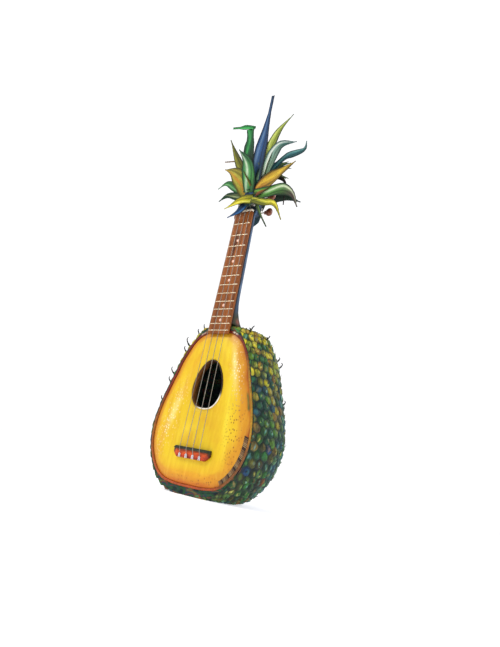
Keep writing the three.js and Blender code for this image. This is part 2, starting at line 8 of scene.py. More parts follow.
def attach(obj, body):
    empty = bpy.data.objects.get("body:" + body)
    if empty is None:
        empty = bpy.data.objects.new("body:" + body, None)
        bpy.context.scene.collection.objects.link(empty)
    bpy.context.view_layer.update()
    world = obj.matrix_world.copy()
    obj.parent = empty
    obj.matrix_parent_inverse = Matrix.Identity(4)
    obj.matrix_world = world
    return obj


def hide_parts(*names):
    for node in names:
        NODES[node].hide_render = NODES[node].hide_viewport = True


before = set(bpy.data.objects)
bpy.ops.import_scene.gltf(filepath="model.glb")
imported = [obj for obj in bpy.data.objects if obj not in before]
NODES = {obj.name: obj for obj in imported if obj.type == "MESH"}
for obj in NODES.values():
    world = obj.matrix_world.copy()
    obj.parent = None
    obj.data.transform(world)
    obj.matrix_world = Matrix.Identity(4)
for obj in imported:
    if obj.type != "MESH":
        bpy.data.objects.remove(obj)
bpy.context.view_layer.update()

MM = 0.001
BODY = "ukulele"


# ---------------------------------------------------------------- camera
CAMERA_PLACE = (0.564, -0.695, 0.047)
CAMERA_AZIMUTH, CAMERA_ELEVATION, CAMERA_ROLL = 37.9, -15.5, 11.56  # degrees
CAMERA_LENS = 29.97


def camera():
    """Low and to the right of the face, looking slightly up, rolled so that the neck leans in the picture."""
    azimuth, elevation, roll = (math.radians(a) for a in (CAMERA_AZIMUTH, CAMERA_ELEVATION, CAMERA_ROLL))
    level = Vector((math.cos(azimuth), math.sin(azimuth), 0))
    back = Vector((math.sin(azimuth) * math.cos(elevation), -math.cos(azimuth) * math.cos(elevation),
                   math.sin(elevation)))
    rise = back.cross(level)
    right = level * math.cos(roll) + rise * math.sin(roll)
    up = rise * math.cos(roll) - level * math.sin(roll)
    data = bpy.data.cameras.new("camera")
    data.lens = CAMERA_LENS
    data.clip_start = 0.01
    obj = bpy.data.objects.new("camera", data)
    matrix = Matrix((right, up, back)).transposed().to_4x4()
    matrix.translation = Vector(CAMERA_PLACE)
    obj.matrix_world = matrix
    bpy.context.scene.collection.objects.link(obj)
    bpy.context.scene.camera = obj


camera()


# ---------------------------------------------------------------- materials
def linear(hex_colour):
    """A colour written as rrggbb, as a linear RGBA tuple."""
    channels = [int(hex_colour[i:i + 2], 16) / 255 for i in (0, 2, 4)]
    return tuple(c / 12.92 if c <= 0.04045 else ((c + 0.055) / 1.055) ** 2.4 for c in channels) + (1.0,)


def rgb(hex_colour):
    return np.array(linear(hex_colour)[:3])


class Nodes:
    """A small helper that adds shader nodes to one material and links them by name."""

    def __init__(self, name):
        self.material = bpy.data.materials.new(name)
        self.material.use_nodes = True
        self.tree = self.material.node_tree
        self.shader = self.tree.nodes["Principled BSDF"]

    def add(self, kind, inputs=None, **settings):
        node = self.tree.nodes.new(kind)
        for key, value in settings.items():
            setattr(node, key, value)
        for key, value in (inputs or {}).items():
            self.put(node.inputs[key], value)
        return node

    def put(self, socket, value):
        if isinstance(value, bpy.types.NodeSocket):
            self.tree.links.new(value, socket)
        else:
            socket.default_value = value

    def ramp(self, fac, stops):
        node = self.add("ShaderNodeValToRGB", {0: fac})
        elements = node.color_ramp.elements
        while len(elements) < len(stops):
            elements.new(0.5)
        for element, (place, colour) in zip(elements, stops):
            element.position = place
            element.color = linear(colour) if isinstance(colour, str) else (colour,) * 3 + (1,)
        return node.outputs[0]

    def mix(self, fac, a, b, blend="MIX"):
        node = self.add("ShaderNodeMix", data_type="RGBA", blend_type=blend)
        self.put(node.inputs[0], fac)
        self.put(node.inputs[6], linear(a) if isinstance(a, str) else a)
        self.put(node.inputs[7], linear(b) if isinstance(b, str) else b)
        return node.outputs[2]

    def math(self, kind, a, b=0.0):
        return self.add("ShaderNodeMath", {0: a, 1: b}, operation=kind).outputs[0]

    def rise(self, fac, low, high, most=1.0):
        """0 up to low, growing to most at high."""
        return self.math("MULTIPLY", self.ramp(fac, [(low, 0.0), (high, 1.0)]), most)

    def fall(self, fac, low, high, most=1.0):
        """Most up to low, shrinking to 0 at high."""
        return self.math("MULTIPLY", self.ramp(fac, [(low, 1.0), (high, 0.0)]), most)

    def scaled(self, fac, times, plus):
        return self.math("ADD", self.math("MULTIPLY", fac, times), plus)

    def place(self, scale=(1, 1, 1), attribute=None):
        """Coordinates in metres in the row frame, or a named vector of the mesh, stretched by scale."""
        if attribute:
            source = self.add("ShaderNodeAttribute", attribute_name=attribute).outputs["Vector"]
        else:
            source = self.add("ShaderNodeTexCoord").outputs["Object"]
        return self.add("ShaderNodeMapping", {0: source, 3: scale}).outputs[0]

    def noise(self, at, scale, detail=4.0, rough=0.55, distortion=0.0):
        node = self.add("ShaderNodeTexNoise", {"Vector": at, "Scale": scale, "Detail": detail,
                                               "Roughness": rough, "Distortion": distortion})
        return node.outputs["Fac"]

    def bump(self, height, depth_mm, strength=1.0):
        node = self.add("ShaderNodeBump", {"Height": height, "Distance": depth_mm * MM, "Strength": strength})
        self.tree.links.new(node.outputs[0], self.shader.inputs["Normal"])

    def finish(self, colour, roughness, metallic=0.0, coat=0.0, specular=0.5):
        self.put(self.shader.inputs["Base Color"], linear(colour) if isinstance(colour, str) else colour)
        self.put(self.shader.inputs["Roughness"], roughness)
        self.shader.inputs["Metallic"].default_value = metallic
        self.shader.inputs["Coat Weight"].default_value = coat
        self.shader.inputs["Coat Roughness"].default_value = 0.2
        self.shader.inputs["Specular IOR Level"].default_value = specular
        return self.material


def painted(name, roughness=0.55, grain=(1, 1, 1), bump=0.15, vary=0.35, coat=0.0):
    """Brushed paint over the mesh's own 'tint', with fine darker and lighter strokes along the grain."""
    n = Nodes(name)
    tint = n.add("ShaderNodeAttribute", attribute_name="tint").outputs["Color"]
    at = n.place(grain)
    streak = n.noise(at, 260, 3.0, 0.6, 0.6)
    blotch = n.noise(n.place(), 70, 4.0, 0.6)
    darker = n.mix(n.fall(streak, 0.35, 0.55, vary), tint, "0b1a1c", "MIX")
    lighter = n.mix(n.rise(streak, 0.56, 0.75, vary * 0.8), darker, "f6efc4", "SOFT_LIGHT")
    colour = n.mix(n.rise(blotch, 0.4, 0.7, vary), lighter, "ffffff", "OVERLAY")
    n.bump(n.math("ADD", streak, n.math("MULTIPLY", blotch, 1.5)), bump)
    rough = n.scaled(blotch, 0.2, roughness - 0.1)
    return n.finish(colour, rough, coat=coat, specular=0.3)


def wood(name, dark, light, along="z", roughness=0.45, scale=1.0, pores=0.4, coat=0.1):
    """Wood with long grain running along one axis, fine pores and a slow change of tone."""
    n = Nodes(name)
    long_axis = {"x": (0.06, 1, 1), "y": (1, 0.06, 1), "z": (1, 1, 0.06)}[along]
    at = n.place(long_axis)
    rings = n.noise(at, 120 * scale, 5.0, 0.62, 1.2)
    fine = n.noise(n.place(tuple(v * (0.5 if v < 1 else 1) for v in long_axis)), 900 * scale, 2.0, 0.7)
    slow = n.noise(n.place(), 14, 2.0)
    tone = n.math("ADD", n.math("MULTIPLY", rings, 0.8), n.math("MULTIPLY", slow, 0.25))
    colour = n.ramp(tone, [(0.36, dark), (0.66, light)])
    pore = n.fall(fine, 0.32, 0.44, pores)
    colour = n.mix(pore, colour, "1c0d06")
    n.bump(n.math("SUBTRACT", rings, n.math("MULTIPLY", pore, 2.0)), 0.12)
    return n.finish(colour, n.scaled(fine, 0.25, roughness - 0.12), coat=coat, specular=0.35)


def metal(name, colour, dull, roughness=0.25):
    """Plated metal with fine brushing and a few tarnished patches."""
    n = Nodes(name)
    brush = n.noise(n.place((1, 0.15, 1)), 1400, 3.0, 0.6)
    tarnish = n.noise(n.place(), 180, 4.0, 0.6)
    shade = n.mix(n.ramp(tarnish, [(0.48, 0.0), (0.72, 0.7)]), colour, dull)
    n.bump(brush, 0.02)
    return n.finish(shade, n.scaled(tarnish, 0.25, roughness - 0.05), metallic=1.0)


def speckled(name, colour, other, roughness=0.4, scale=240, coat=0.2):
    """Bone, plastic or painted trim: a soft mottling, tiny pits and varied gloss."""
    n = Nodes(name)
    soft = n.noise(n.place(), scale, 4.0, 0.6)
    pits = n.noise(n.place(), scale * 6, 2.0, 0.5)
    shade = n.mix(n.ramp(soft, [(0.38, 0.0), (0.68, 1.0)]), colour, other)
    n.bump(n.math("ADD", soft, n.math("MULTIPLY", pits, 0.3)), 0.05)
    return n.finish(shade, n.scaled(soft, 0.25, roughness - 0.12), coat=coat)


# ---------------------------------------------------------------- mesh helpers
def piece(name, verts, faces, material, body=BODY, replaces=(), colours=None, uvw=None, smooth=True):
    """A new mesh in millimetres from the row frame, with colours and stroke directions held on its points."""
    mesh = bpy.data.meshes.new(name)
    mesh.from_pydata([tuple(float(c) * MM for c in v) for v in verts], [], faces)
    mesh.validate()
    mesh.update()
    if colours is not None:
        layer = mesh.color_attributes.new("tint", "FLOAT_COLOR", "POINT")
        layer.data.foreach_set("color", np.asarray(colours, dtype=np.float32).ravel())
    if uvw is not None:
        layer = mesh.attributes.new("stroke", "FLOAT_VECTOR", "POINT")
        layer.data.foreach_set("vector", np.asarray(uvw, dtype=np.float32).ravel())
    mesh.polygons.foreach_set("use_smooth", [smooth] * len(mesh.polygons))
    mesh.materials.append(material)
    obj = bpy.data.objects.new(name, mesh)
    bpy.context.scene.collection.objects.link(obj)
    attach(obj, body)
    if replaces:
        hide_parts(*replaces)
    return obj


def grid_faces(rows, columns, closed_columns=False, closed_rows=False):
    """Quads between rows of equal length, numbered row by row."""
    faces = []
    for i in range(rows if closed_rows else rows - 1):
        a, b = i * columns, ((i + 1) % rows) * columns
        for j in range(columns if closed_columns else columns - 1):
            k = (j + 1) % columns
            faces.append((a + j, a + k, b + k, b + j))
    return faces


def shell_faces(rows, columns):
    """A thin closed shell: one sheet of points in rows, the same sheet again, and a rim that joins them."""
    total = rows * columns
    faces = grid_faces(rows, columns)
    faces += [tuple(total + v for v in f[::-1]) for f in faces]
    left = [i * columns for i in range(rows)]
    right = [i + columns - 1 for i in left]
    start = list(range(columns))
    end = [j + left[-1] for j in start]
    for line in (left, right[::-1], start[::-1], end):
        faces += [(a, b, total + b, total + a) for a, b in zip(line, line[1:])]
    return faces


def moved(faces, first):
    """The same faces for points that begin at number first."""
    return [tuple(first + v for v in f) for f in faces]


def catmull(points, count, closed=False):
    """A smooth run of points through the given ones, by the centripetal Catmull-Rom rule."""
    pts = [np.asarray(p, dtype=float) for p in points]
    if closed:
        pts = [pts[-1], *pts, pts[0], pts[1]]
    else:
        pts = [2 * pts[0] - pts[1], *pts, 2 * pts[-1] - pts[-2]]
    spans = len(pts) - 3
    out = []
    for i in range(count):
        t = i / (count if closed else count - 1) * spans
        s = min(int(t), spans - 1)
        p0, p1, p2, p3 = pts[s:s + 4]
        k = [0.0]
        for a, b in ((p0, p1), (p1, p2), (p2, p3)):
            k.append(k[-1] + max(np.linalg.norm(b - a) ** 0.5, 1e-6))
        u = k[1] + (t - s) * (k[2] - k[1])
        between = lambda a, b, i, j: (a * (k[j] - u) + b * (u - k[i])) / (k[j] - k[i])
        a1, a2, a3 = between(p0, p1, 0, 1), between(p1, p2, 1, 2), between(p2, p3, 2, 3)
        b1, b2 = between(a1, a2, 0, 2), between(a2, a3, 1, 3)
        out.append(between(b1, b2, 1, 2))
    return np.array(out)


def mirrored(side, count):
    """A smooth closed outline from the points of its right side, mirrored about X = 0."""
    return catmull([*side, *[(-x, z) for x, z in side[-2:0:-1]]], count, closed=True)


def inset(outline, distance):
    """An outline moved inwards, each point along its own normal."""
    along = np.roll(outline, -1, axis=0) - np.roll(outline, 1, axis=0)
    along /= np.linalg.norm(along, axis=1)[:, None]
    return outline + np.stack([-along[:, 1], along[:, 0]], axis=1) * distance


def smoothstep(low, high, value):
    t = np.clip((value - low) / (high - low), 0, 1)
    return t * t * (3 - 2 * t)


def tube(name, path, radius, material, body=BODY, replaces=(), sides=12):
    """A round tube along a path, with domed ends."""
    points = [Vector(p) for p in path]
    verts, normal = [], Vector((1, 0, 0))
    for i, p in enumerate(points):
        along = (points[min(i + 1, len(points) - 1)] - points[max(i - 1, 0)]).normalized()
        normal = (normal - along * normal.dot(along)).normalized()
        other = along.cross(normal)
        size = radius(i / (len(points) - 1)) if callable(radius) else radius
        for k in range(sides):
            a = 2 * math.pi * k / sides
            verts.append(p + normal * (size * math.cos(a)) + other * (size * math.sin(a)))
    faces = grid_faces(len(points), sides, closed_columns=True)
    count = len(verts)
    first = (points[0] - points[1]).normalized()
    last = (points[-1] - points[-2]).normalized()
    end = radius if not callable(radius) else 0.3
    verts += [points[0] + first * end * 0.5, points[-1] + last * end * 0.5]
    faces += [(count, (k + 1) % sides, k) for k in range(sides)]
    faces += [(count + 1, count - sides + k, count - sides + (k + 1) % sides) for k in range(sides)]
    return piece(name, verts, [f[::-1] for f in faces], material, body, replaces)


# ---------------------------------------------------------------- the pineapple's rind
DEPTH_RATIO = 0.95
FACE_Y = -43
RIND_PROFILE = [(38, 0), (56, 3.5), (71, 10), (88, 27), (105.5, 60), (112, 97),
                (106, 138), (94.5, 179), (82, 220), (67, 250), (57, 266), (44, 273.5)]
EYES_ROUND = 46
EYE_ROW = 12.6
ROW_LEAN = 0.1
EYE_JITTER = 0.42
RIND_TONE_HEIGHT = 275
RIND_STEP, RIND_COLUMNS = 1.45, 460
SKIN_BELOW = -0.9  # how far under the skin the back of the eyes' sheet lies


def rind_rows(step):
    """Radius, height, outward slope and distance along the skin, in even steps up the fruit."""
    dense = catmull(RIND_PROFILE, 600)
    length = np.concatenate([[0], np.cumsum(np.linalg.norm(np.diff(dense, axis=0), axis=1))])
    s = np.linspace(0, length[-1], int(length[-1] / step) + 1)
    radius, height = np.interp(s, length, dense[:, 0]), np.interp(s, length, dense[:, 1])
    dr, dz = np.gradient(radius, s), np.gradient(height, s)
    size = np.hypot(dr, dz)
    return radius, height, dz / size, -dr / size, s


def hashed(i, j, salt):
    """A repeatable number from 0 to 1 for each eye of the fruit."""
    v = np.sin(i * 127.1 + j * 311.7 + salt * 74.7) * 43758.5453
    return v - np.floor(v)


def eyes_at(angle, s, radius):
    """For points on the skin: nearest eye (column, row), offset from it, distance, depth inside its edge."""
    width = 2 * math.pi * radius / EYES_ROUND
    u = angle * EYES_ROUND / (2 * math.pi) + s / EYE_ROW * ROW_LEAN
    v = s / EYE_ROW
    best = np.full(angle.shape, 1e9)
    second = best.copy()
    column, row, side, up = (np.zeros(angle.shape) for _ in range(4))
    for dj in (-1, 0, 1, 2):
        j = np.floor(v) + dj
        shift = 0.5 * np.mod(j, 2)
        for di in (-1, 0, 1):
            i = np.round(u - shift) + di
            across = (u - shift - i - EYE_JITTER * (hashed(i, j, 20) - 0.5)) * width
            rise = (v - j - EYE_JITTER * (hashed(i, j, 21) - 0.5)) * EYE_ROW
            d = np.hypot(across, rise * 0.92)
            closer = d < best
            second = np.where(closer, best, np.minimum(second, d))
            column, row = np.where(closer, i, column), np.where(closer, j, row)
            side, up = np.where(closer, across, side), np.where(closer, rise, up)
            best = np.where(closer, d, best)
    return column, row, side, up, best, second - best


EYE_COLOURS = {  # by height up the fruit: the low, middle and high bands; the high band's yellows are painted highlight on the shoulders and the low band's navies painted shade, among the skin's own greens and rusts
    "low": "12304a 1c4a2a 2f6a2a 14301c 2a5a2c 7a4420 16385e 4a6a2c 3a3a1c 5a5a24",
    "middle": "34661f 1f4f34 5f7f24 245a44 8a6a2c 988c28 27505c 46722c 2c4a1c 6a5a22",
    "high": "dcc824 c8bc22 8f9a22 b8a838 e6d434 5c8424 3a6a3a a8862e 6a7a1c",
}
# cool teal for the side turned from the key light: painted shade
COOL_SHADE_COLOURS = "3f8484 2c6a70 2f7450 5fa092 1f5a5a 2a5a30"
GROUND_COLOURS = "0b1a2a 0f272c 143224 0d2236 1a3a1c"
STROKE_COLOURS = "7fb8ac 8fb45a c8c04a 5f9a9c b89a5a d8d46a"


def palette(names, pick):
    """One of the named colours for each number from 0 to 1."""
    table = np.array([rgb(c) for c in names.split()])
    return table[np.minimum((pick * len(table)).astype(int), len(table) - 1)]


def blend_rows(a, b, t):
    return a + (b - a) * np.asarray(t)[..., None]


def toward(rows, hex_colour, t):
    """Rows of colours moved toward one colour."""
    return blend_rows(rows, rgb(hex_colour), t)


def dab(side, up, column, row, salt, wide, tall):
    """1 inside one leaning brush dab on each eye, 0 outside, with its place, lean and size drawn per eye."""
    draw = lambda k: hashed(column, row, salt + k)
    dx, dy = side - (draw(0) - 0.5) * 5, up - (draw(1) - 0.5) * 3.4
    lean = (draw(2) - 0.5) * 1.5
    across, along = dx * np.cos(lean) + dy * np.sin(lean), dy * np.cos(lean) - dx * np.sin(lean)
    reach = np.hypot(across / (wide * (0.6 + 0.8 * draw(3))), along / (tall * (0.6 + 0.8 * draw(4))))
    return 1 - smoothstep(0.7, 1.1, reach)


def rind_colours(angle, height, column, row, side, up, border):
    """Dark skin with dabs on each eye: yellow high up as painted highlight, green between, navy low as
    painted shade with rust, teal far round as cool painted shade.
    """
    t = height / RIND_TONE_HEIGHT + 0.22 * (hashed(column, row, 2) - 0.5)
    pick = hashed(column, row, 1)
    low, middle, high = (palette(EYE_COLOURS[k], pick) for k in ("low", "middle", "high"))
    eye = blend_rows(blend_rows(low, middle, smoothstep(0.24, 0.55, t)), high, smoothstep(0.62, 0.8, t))
    # painted shade: teal on the side turned from the key light, from the right round the back
    far = smoothstep(1.5, 2.15, angle) * (1 - smoothstep(3.6, 4.3, angle))
    teal = far * (hashed(column, row, 4) > 0.25) * 0.85
    eye = blend_rows(eye, palette(COOL_SHADE_COLOURS, hashed(column, row, 3)), teal)
    colour = palette(GROUND_COLOURS, hashed(column, row, 13))
    colour = blend_rows(colour, eye * 0.5, smoothstep(0.2, 2.0, border) * 0.85)
    colour = blend_rows(colour, eye, dab(side, up, column, row, 30, 4.8, 5.6))
    second = palette(EYE_COLOURS["middle"], hashed(column, row, 5))
    second = blend_rows(second, eye * 1.25, 0.5)
    colour = blend_rows(colour, second, dab(side, up, column, row, 40, 2.2, 4.6) * 0.9)
    stroke = palette(STROKE_COLOURS, hashed(column, row, 6))
    # pale strokes, shown more often on that painted-shade side
    shown = (hashed(column, row, 7) > 0.45) * (0.55 + 0.45 * far)
    colour = blend_rows(colour, stroke, dab(side, up, column, row, 50, 1.1, 3.8) * shown)
    dark_line = 0.3 + 0.35 * hashed(column, row, 14)
    shade = 1 - dark_line * (1 - smoothstep(0.0, 1.4, border))
    return np.clip(colour * shade[..., None], 0, 1)


def rind_surface(step, columns):
    """Rows of places round the skin from one edge of the slice to the other, with how far each is lifted."""
    radius, height, out_r, out_z, s = rind_rows(step)
    edge = np.where(DEPTH_RATIO * radius > -FACE_Y,
                    np.arccos(np.minimum(1, (-FACE_Y - 0.5) / (DEPTH_RATIO * radius))), 0.0)
    share = np.linspace(0, 1, columns)
    angle = edge[:, None] + (2 * math.pi - 2 * edge[:, None]) * share[None, :]
    r2, s2 = np.broadcast_to(radius[:, None], angle.shape), np.broadcast_to(s[:, None], angle.shape)
    eyes = eyes_at(angle, s2, r2)
    _, _, _, up, near, border = eyes
    rim = np.minimum(angle - edge[:, None], 2 * math.pi - edge[:, None] - angle) * r2
    rim = np.where(edge[:, None] > 0, rim, 99)
    fade = smoothstep(-2, 5, rim) * smoothstep(0, 9, s2) * smoothstep(0, 10, s2[-1, 0] - s2)
    lump = 2.0 * smoothstep(0, 5.5, border) + 0.6 * np.exp(-(near / 2.0) ** 2)
    lump -= 0.12 * up * smoothstep(0, 4, border)
    lump += 0.35 * np.sin(angle * 211 + s2 * 1.3) * np.sin(s2 * 2.1)
    lift = 0.35 + fade * np.maximum(lump, 0)
    return radius, height, out_r, out_z, s, angle, lift, eyes


def place_on_skin(radius, height, out_r, out_z, angle, lift):
    """Points at a lift above the skin, in mm."""
    r = radius + out_r * lift
    return np.stack([r * np.sin(angle), -DEPTH_RATIO * r * np.cos(angle), height + out_z * lift], axis=-1)


def build_rind(material):
    """The skin with its eyes: a thin closed shell over the CAD shell, cut where the face is."""
    radius, height, out_r, out_z, s, angle, lift, eyes = rind_surface(RIND_STEP, RIND_COLUMNS)
    column, row, side, up, _, border = eyes
    wide = [np.broadcast_to(a[:, None], angle.shape) for a in (radius, height, out_r, out_z)]
    sheets = []
    for depth, floor in ((lift, 0.0), (np.full(angle.shape, SKIN_BELOW), 0.3)):
        sheet = place_on_skin(*wide, angle, depth)
        sheet[..., 2] = np.maximum(sheet[..., 2], floor)
        sheet[..., 1] = np.maximum(sheet[..., 1], FACE_Y + 0.3)
        sheets.append(sheet.reshape(-1, 3))
    tints = opaque(rind_colours(angle, wide[1], column, row, side, up, border)).reshape(-1, 4)
    piece("rind_eyes", np.concatenate(sheets), shell_faces(len(s), RIND_COLUMNS), material,
          colours=np.concatenate([tints] * 2))


BRACT_TONES = {"low": "1f3a1e 4a3420 1a3430 5a4a28", "high": "6a7a24 a89a34 3a5a2a 8a6228"}
BRACT_TIP = "2a1c12"
BRACT_FACES = [(0, 2, 1), (0, 3, 2), (0, 1, 3), (1, 2, 4), (2, 3, 4), (3, 1, 4)]
BRACT_GAP = 9  # clear skin beside the slice


def bract(i, j, a, skin, size, chance):
    """The five points of one small scale that lies on an eye with its tip turned out."""
    centre = place_on_skin(*skin, a, 3.0)
    outward = place_on_skin(*skin, a, 4.0) - centre
    sideways = np.array([math.cos(a), DEPTH_RATIO * math.sin(a), 0])
    upward = np.cross(sideways, outward)
    upward /= np.linalg.norm(upward) * (1 if upward[2] > 0 else -1)
    lean = (float(hashed(i, j, 10)) - 0.5) * 2.4
    base = centre - upward * 2.5 * size
    tip = centre + upward * 5.2 * size + outward * (1.6 + 1.8 * chance) * size + sideways * lean
    half = sideways * 1.7 * size
    waist = base + upward
    return [base - outward * 0.8, waist - half, waist + outward * 0.7, waist + half, tip]


def build_bracts(material):
    """A small scale on about half of the eyes."""
    radius, height, out_r, out_z, s = rind_rows(RIND_STEP)
    verts, faces, tints = [], [], []
    for j in range(1, int(s[-1] / EYE_ROW)):
        skin = [np.interp(j * EYE_ROW, s, line) for line in (radius, height, out_r, out_z)]
        r, z = skin[:2]
        half = math.acos(min(1, -FACE_Y / (DEPTH_RATIO * r))) if DEPTH_RATIO * r > -FACE_Y else 0
        for i in range(-4, EYES_ROUND + 1):
            a = (i + 0.5 * (j % 2) - j * ROW_LEAN) * 2 * math.pi / EYES_ROUND
            gap = BRACT_GAP / r
            if not half + gap < a < 2 * math.pi - half - gap or not 6 < z < 266:
                continue
            chance, size = float(hashed(i, j, 8)), 0.55 + 0.4 * float(hashed(i, j, 9))
            if chance < 0.5:
                continue
            faces += moved(BRACT_FACES, len(verts))
            verts += bract(i, j, a, skin, size, chance)
            options = BRACT_TONES["low" if hashed(i, j, 11) > smoothstep(150, 240, z) else "high"].split()
            tone = np.array(linear(options[int(hashed(i, j, 12) * 3.99)]))
            # painted shade at the sunk foot and a painted highlight on the raised middle; the tip dried dark
            tints += [tone * 0.6, tone, tone * 1.3, tone, np.array(linear(BRACT_TIP))]
    piece("rind_bracts", verts, faces, material, colours=tints, smooth=False)


DRY_BRACTS = [  # degrees round from the front, height, and length of the dried, curled bracts on the skin
    (-68, 267, 11), (-60, 259, 9), (-58, 236, 13), (-62, 226, 9), (-66, 186, 12), (-69, 172, 10),
    (-72, 140, 9), (-76, 96, 6), (58, 266, 9), (92, 262, 8), (124, 236, 9), (128, 226, 12),
    (130, 168, 9), (133, 160, 7), (160, 246, 10), (188, 214, 11), (205, 150, 8), (236, 240, 10),
    (250, 190, 9),
]
DRY_CURL = [  # out from the skin, up and sideways, as shares of the length
    (0, 0, 0), (0.30, 0.10, 0.06), (0.55, 0.30, 0.16), (0.68, 0.58, 0.30), (0.58, 0.84, 0.48),
    (0.40, 0.98, 0.62),
]


def build_dry_bracts(material):
    """Small dark curls, two to a place, that stand off the skin."""
    radius, height, out_r, out_z, s = rind_rows(1.0)
    rise = np.array([0, 0, 1.0])
    for n, (degrees, z, length) in enumerate(DRY_BRACTS):
        k = int(np.argmin(np.abs(height - z) + np.where(s < 60, 99, 0)))
        a = math.radians(degrees)
        skin = (radius[k], height[k], out_r[k], out_z[k])
        root, higher = (place_on_skin(*skin, a, lift) for lift in (1.0, 2.0))
        out = higher - root
        aside = np.array([math.cos(a), DEPTH_RATIO * math.sin(a), 0])
        for twin, turn in enumerate((1, -1)):
            size = length * (1 - 0.25 * twin)
            path = catmull([root + size * (o * out + r * rise * (0.9 - 0.5 * twin) + w * turn * aside)
                            for o, r, w in DRY_CURL], 14)
            tube(f"dry_bract_{n + 1:02d}_{'ab'[twin]}", path, lambda t: 1.25 * (1 - t) ** 0.7 + 0.2, material,
                 sides=7)


# ---------------------------------------------------------------- soundboard, binding and soundhole
FACE_OUTLINE = [(0, 12), (34, 13), (60, 19), (80, 36), (95, 63), (100.5, 98),
                (94.5, 138), (81.5, 179), (67, 219), (50, 248), (30, 262), (0, 266)]
HOLE_OUTLINE = [(0, 132), (17, 136), (28, 150), (30.5, 168), (26, 188), (16, 205), (7, 212), (0, 213.5)]
BINDING_WIDTH = 4.0
BACK_Y = -38  # the back of the soundboard and of the binding
EDGE_Y, FLAT_Y = -41.6, -45.5  # the face at its edge, and where it is flat
ROLL_WIDTH = 21  # from the edge to the flat
LOOP = 320
face = mirrored(FACE_OUTLINE, LOOP)
hole = mirrored(HOLE_OUTLINE, LOOP)


def ring(outline, y):
    """An outline of the face's plane as points at one depth."""
    return np.stack([outline[:, 0], np.full(len(outline), float(y)), outline[:, 1]], axis=1)


def ringed(name, loops, material, replaces, colour_of, stroke_of=None, closed=True):
    """A closed ring-shaped piece through loops of equal length, coloured point by point."""
    verts = np.concatenate(loops)
    faces = grid_faces(len(loops), LOOP, closed_columns=True, closed_rows=closed)
    depth = np.repeat(np.arange(len(loops)), LOOP)
    colours = colour_of(verts, depth)
    strokes = stroke_of(verts, depth) if stroke_of else None
    return piece(name, verts, faces, material, replaces=replaces, colours=colours, uvw=strokes)


def layered(stops, value):
    """Colour by a value through (value, colour) stops."""
    places = [p for p, _ in stops]
    table = np.array([rgb(c) for _, c in stops])
    return np.stack([np.interp(value, places, table[:, k]) for k in range(3)], axis=-1)


def opaque(colour):
    return np.concatenate([colour, np.ones(colour.shape[:-1] + (1,))], axis=-1)


def near_to(verts, x, z, across, along, tilt=0.0):
    """1 at (x, z) on the face, falling to 0 over an oval of the given half sizes."""
    c, s = math.cos(tilt), math.sin(tilt)
    dx, dz = verts[:, 0] - x, verts[:, 2] - z
    return np.exp(-((dx * c + dz * s) / across) ** 2 - ((dz * c - dx * s) / along) ** 2)


def face_y(distance):
    """How far forward the face stands at a distance in from its edge."""
    return EDGE_Y + (FLAT_Y - EDGE_Y) * (1 - (1 - min(distance / ROLL_WIDTH, 1)) ** 2.4)


FACE_TONES = [(0, "a04e14"), (1.5, "bc6e16"), (4, "cf8c1a"), (9, "d89a1c"), (10.5, "e4b81c"), (24, "e8c61a"),
              (60, "e4c01a")]
HIGHLIGHTS = [  # x, z, half width, half height, tilt, colour and strength of broad strokes on the face
    (-60, 124, 6, 36, -0.25, "f4e68a", 0.85), (46, 205, 4.5, 32, 0.28, "f4e594", 0.8),
    (-22, 100, 20, 9, 0.5, "f4d83a", 0.6), (34, 110, 9, 40, 0.15, "dcae1c", 0.4),
    (20, 236, 8, 22, 0.3, "f7de3e", 0.6), (-34, 212, 6, 28, -0.45, "dc9a1c", 0.55),
    (72, 150, 5, 60, 0.2, "d08c1a", 0.6), (-14, 50, 42, 7, 0.05, "ecd02c", 0.45),
    (72, 72, 8, 26, -0.25, "cf8a1c", 0.65), (-44, 168, 7, 24, -0.35, "dfa21c", 0.5),
    (12, 116, 14, 6, -0.4, "d89a20", 0.45), (0, 32, 52, 5, 0.0, "e0901a", 0.6),
    (52, 122, 6, 46, 0.12, "f2dc38", 0.7), (-72, 80, 5, 40, -0.1, "dc9a1c", 0.6),
]


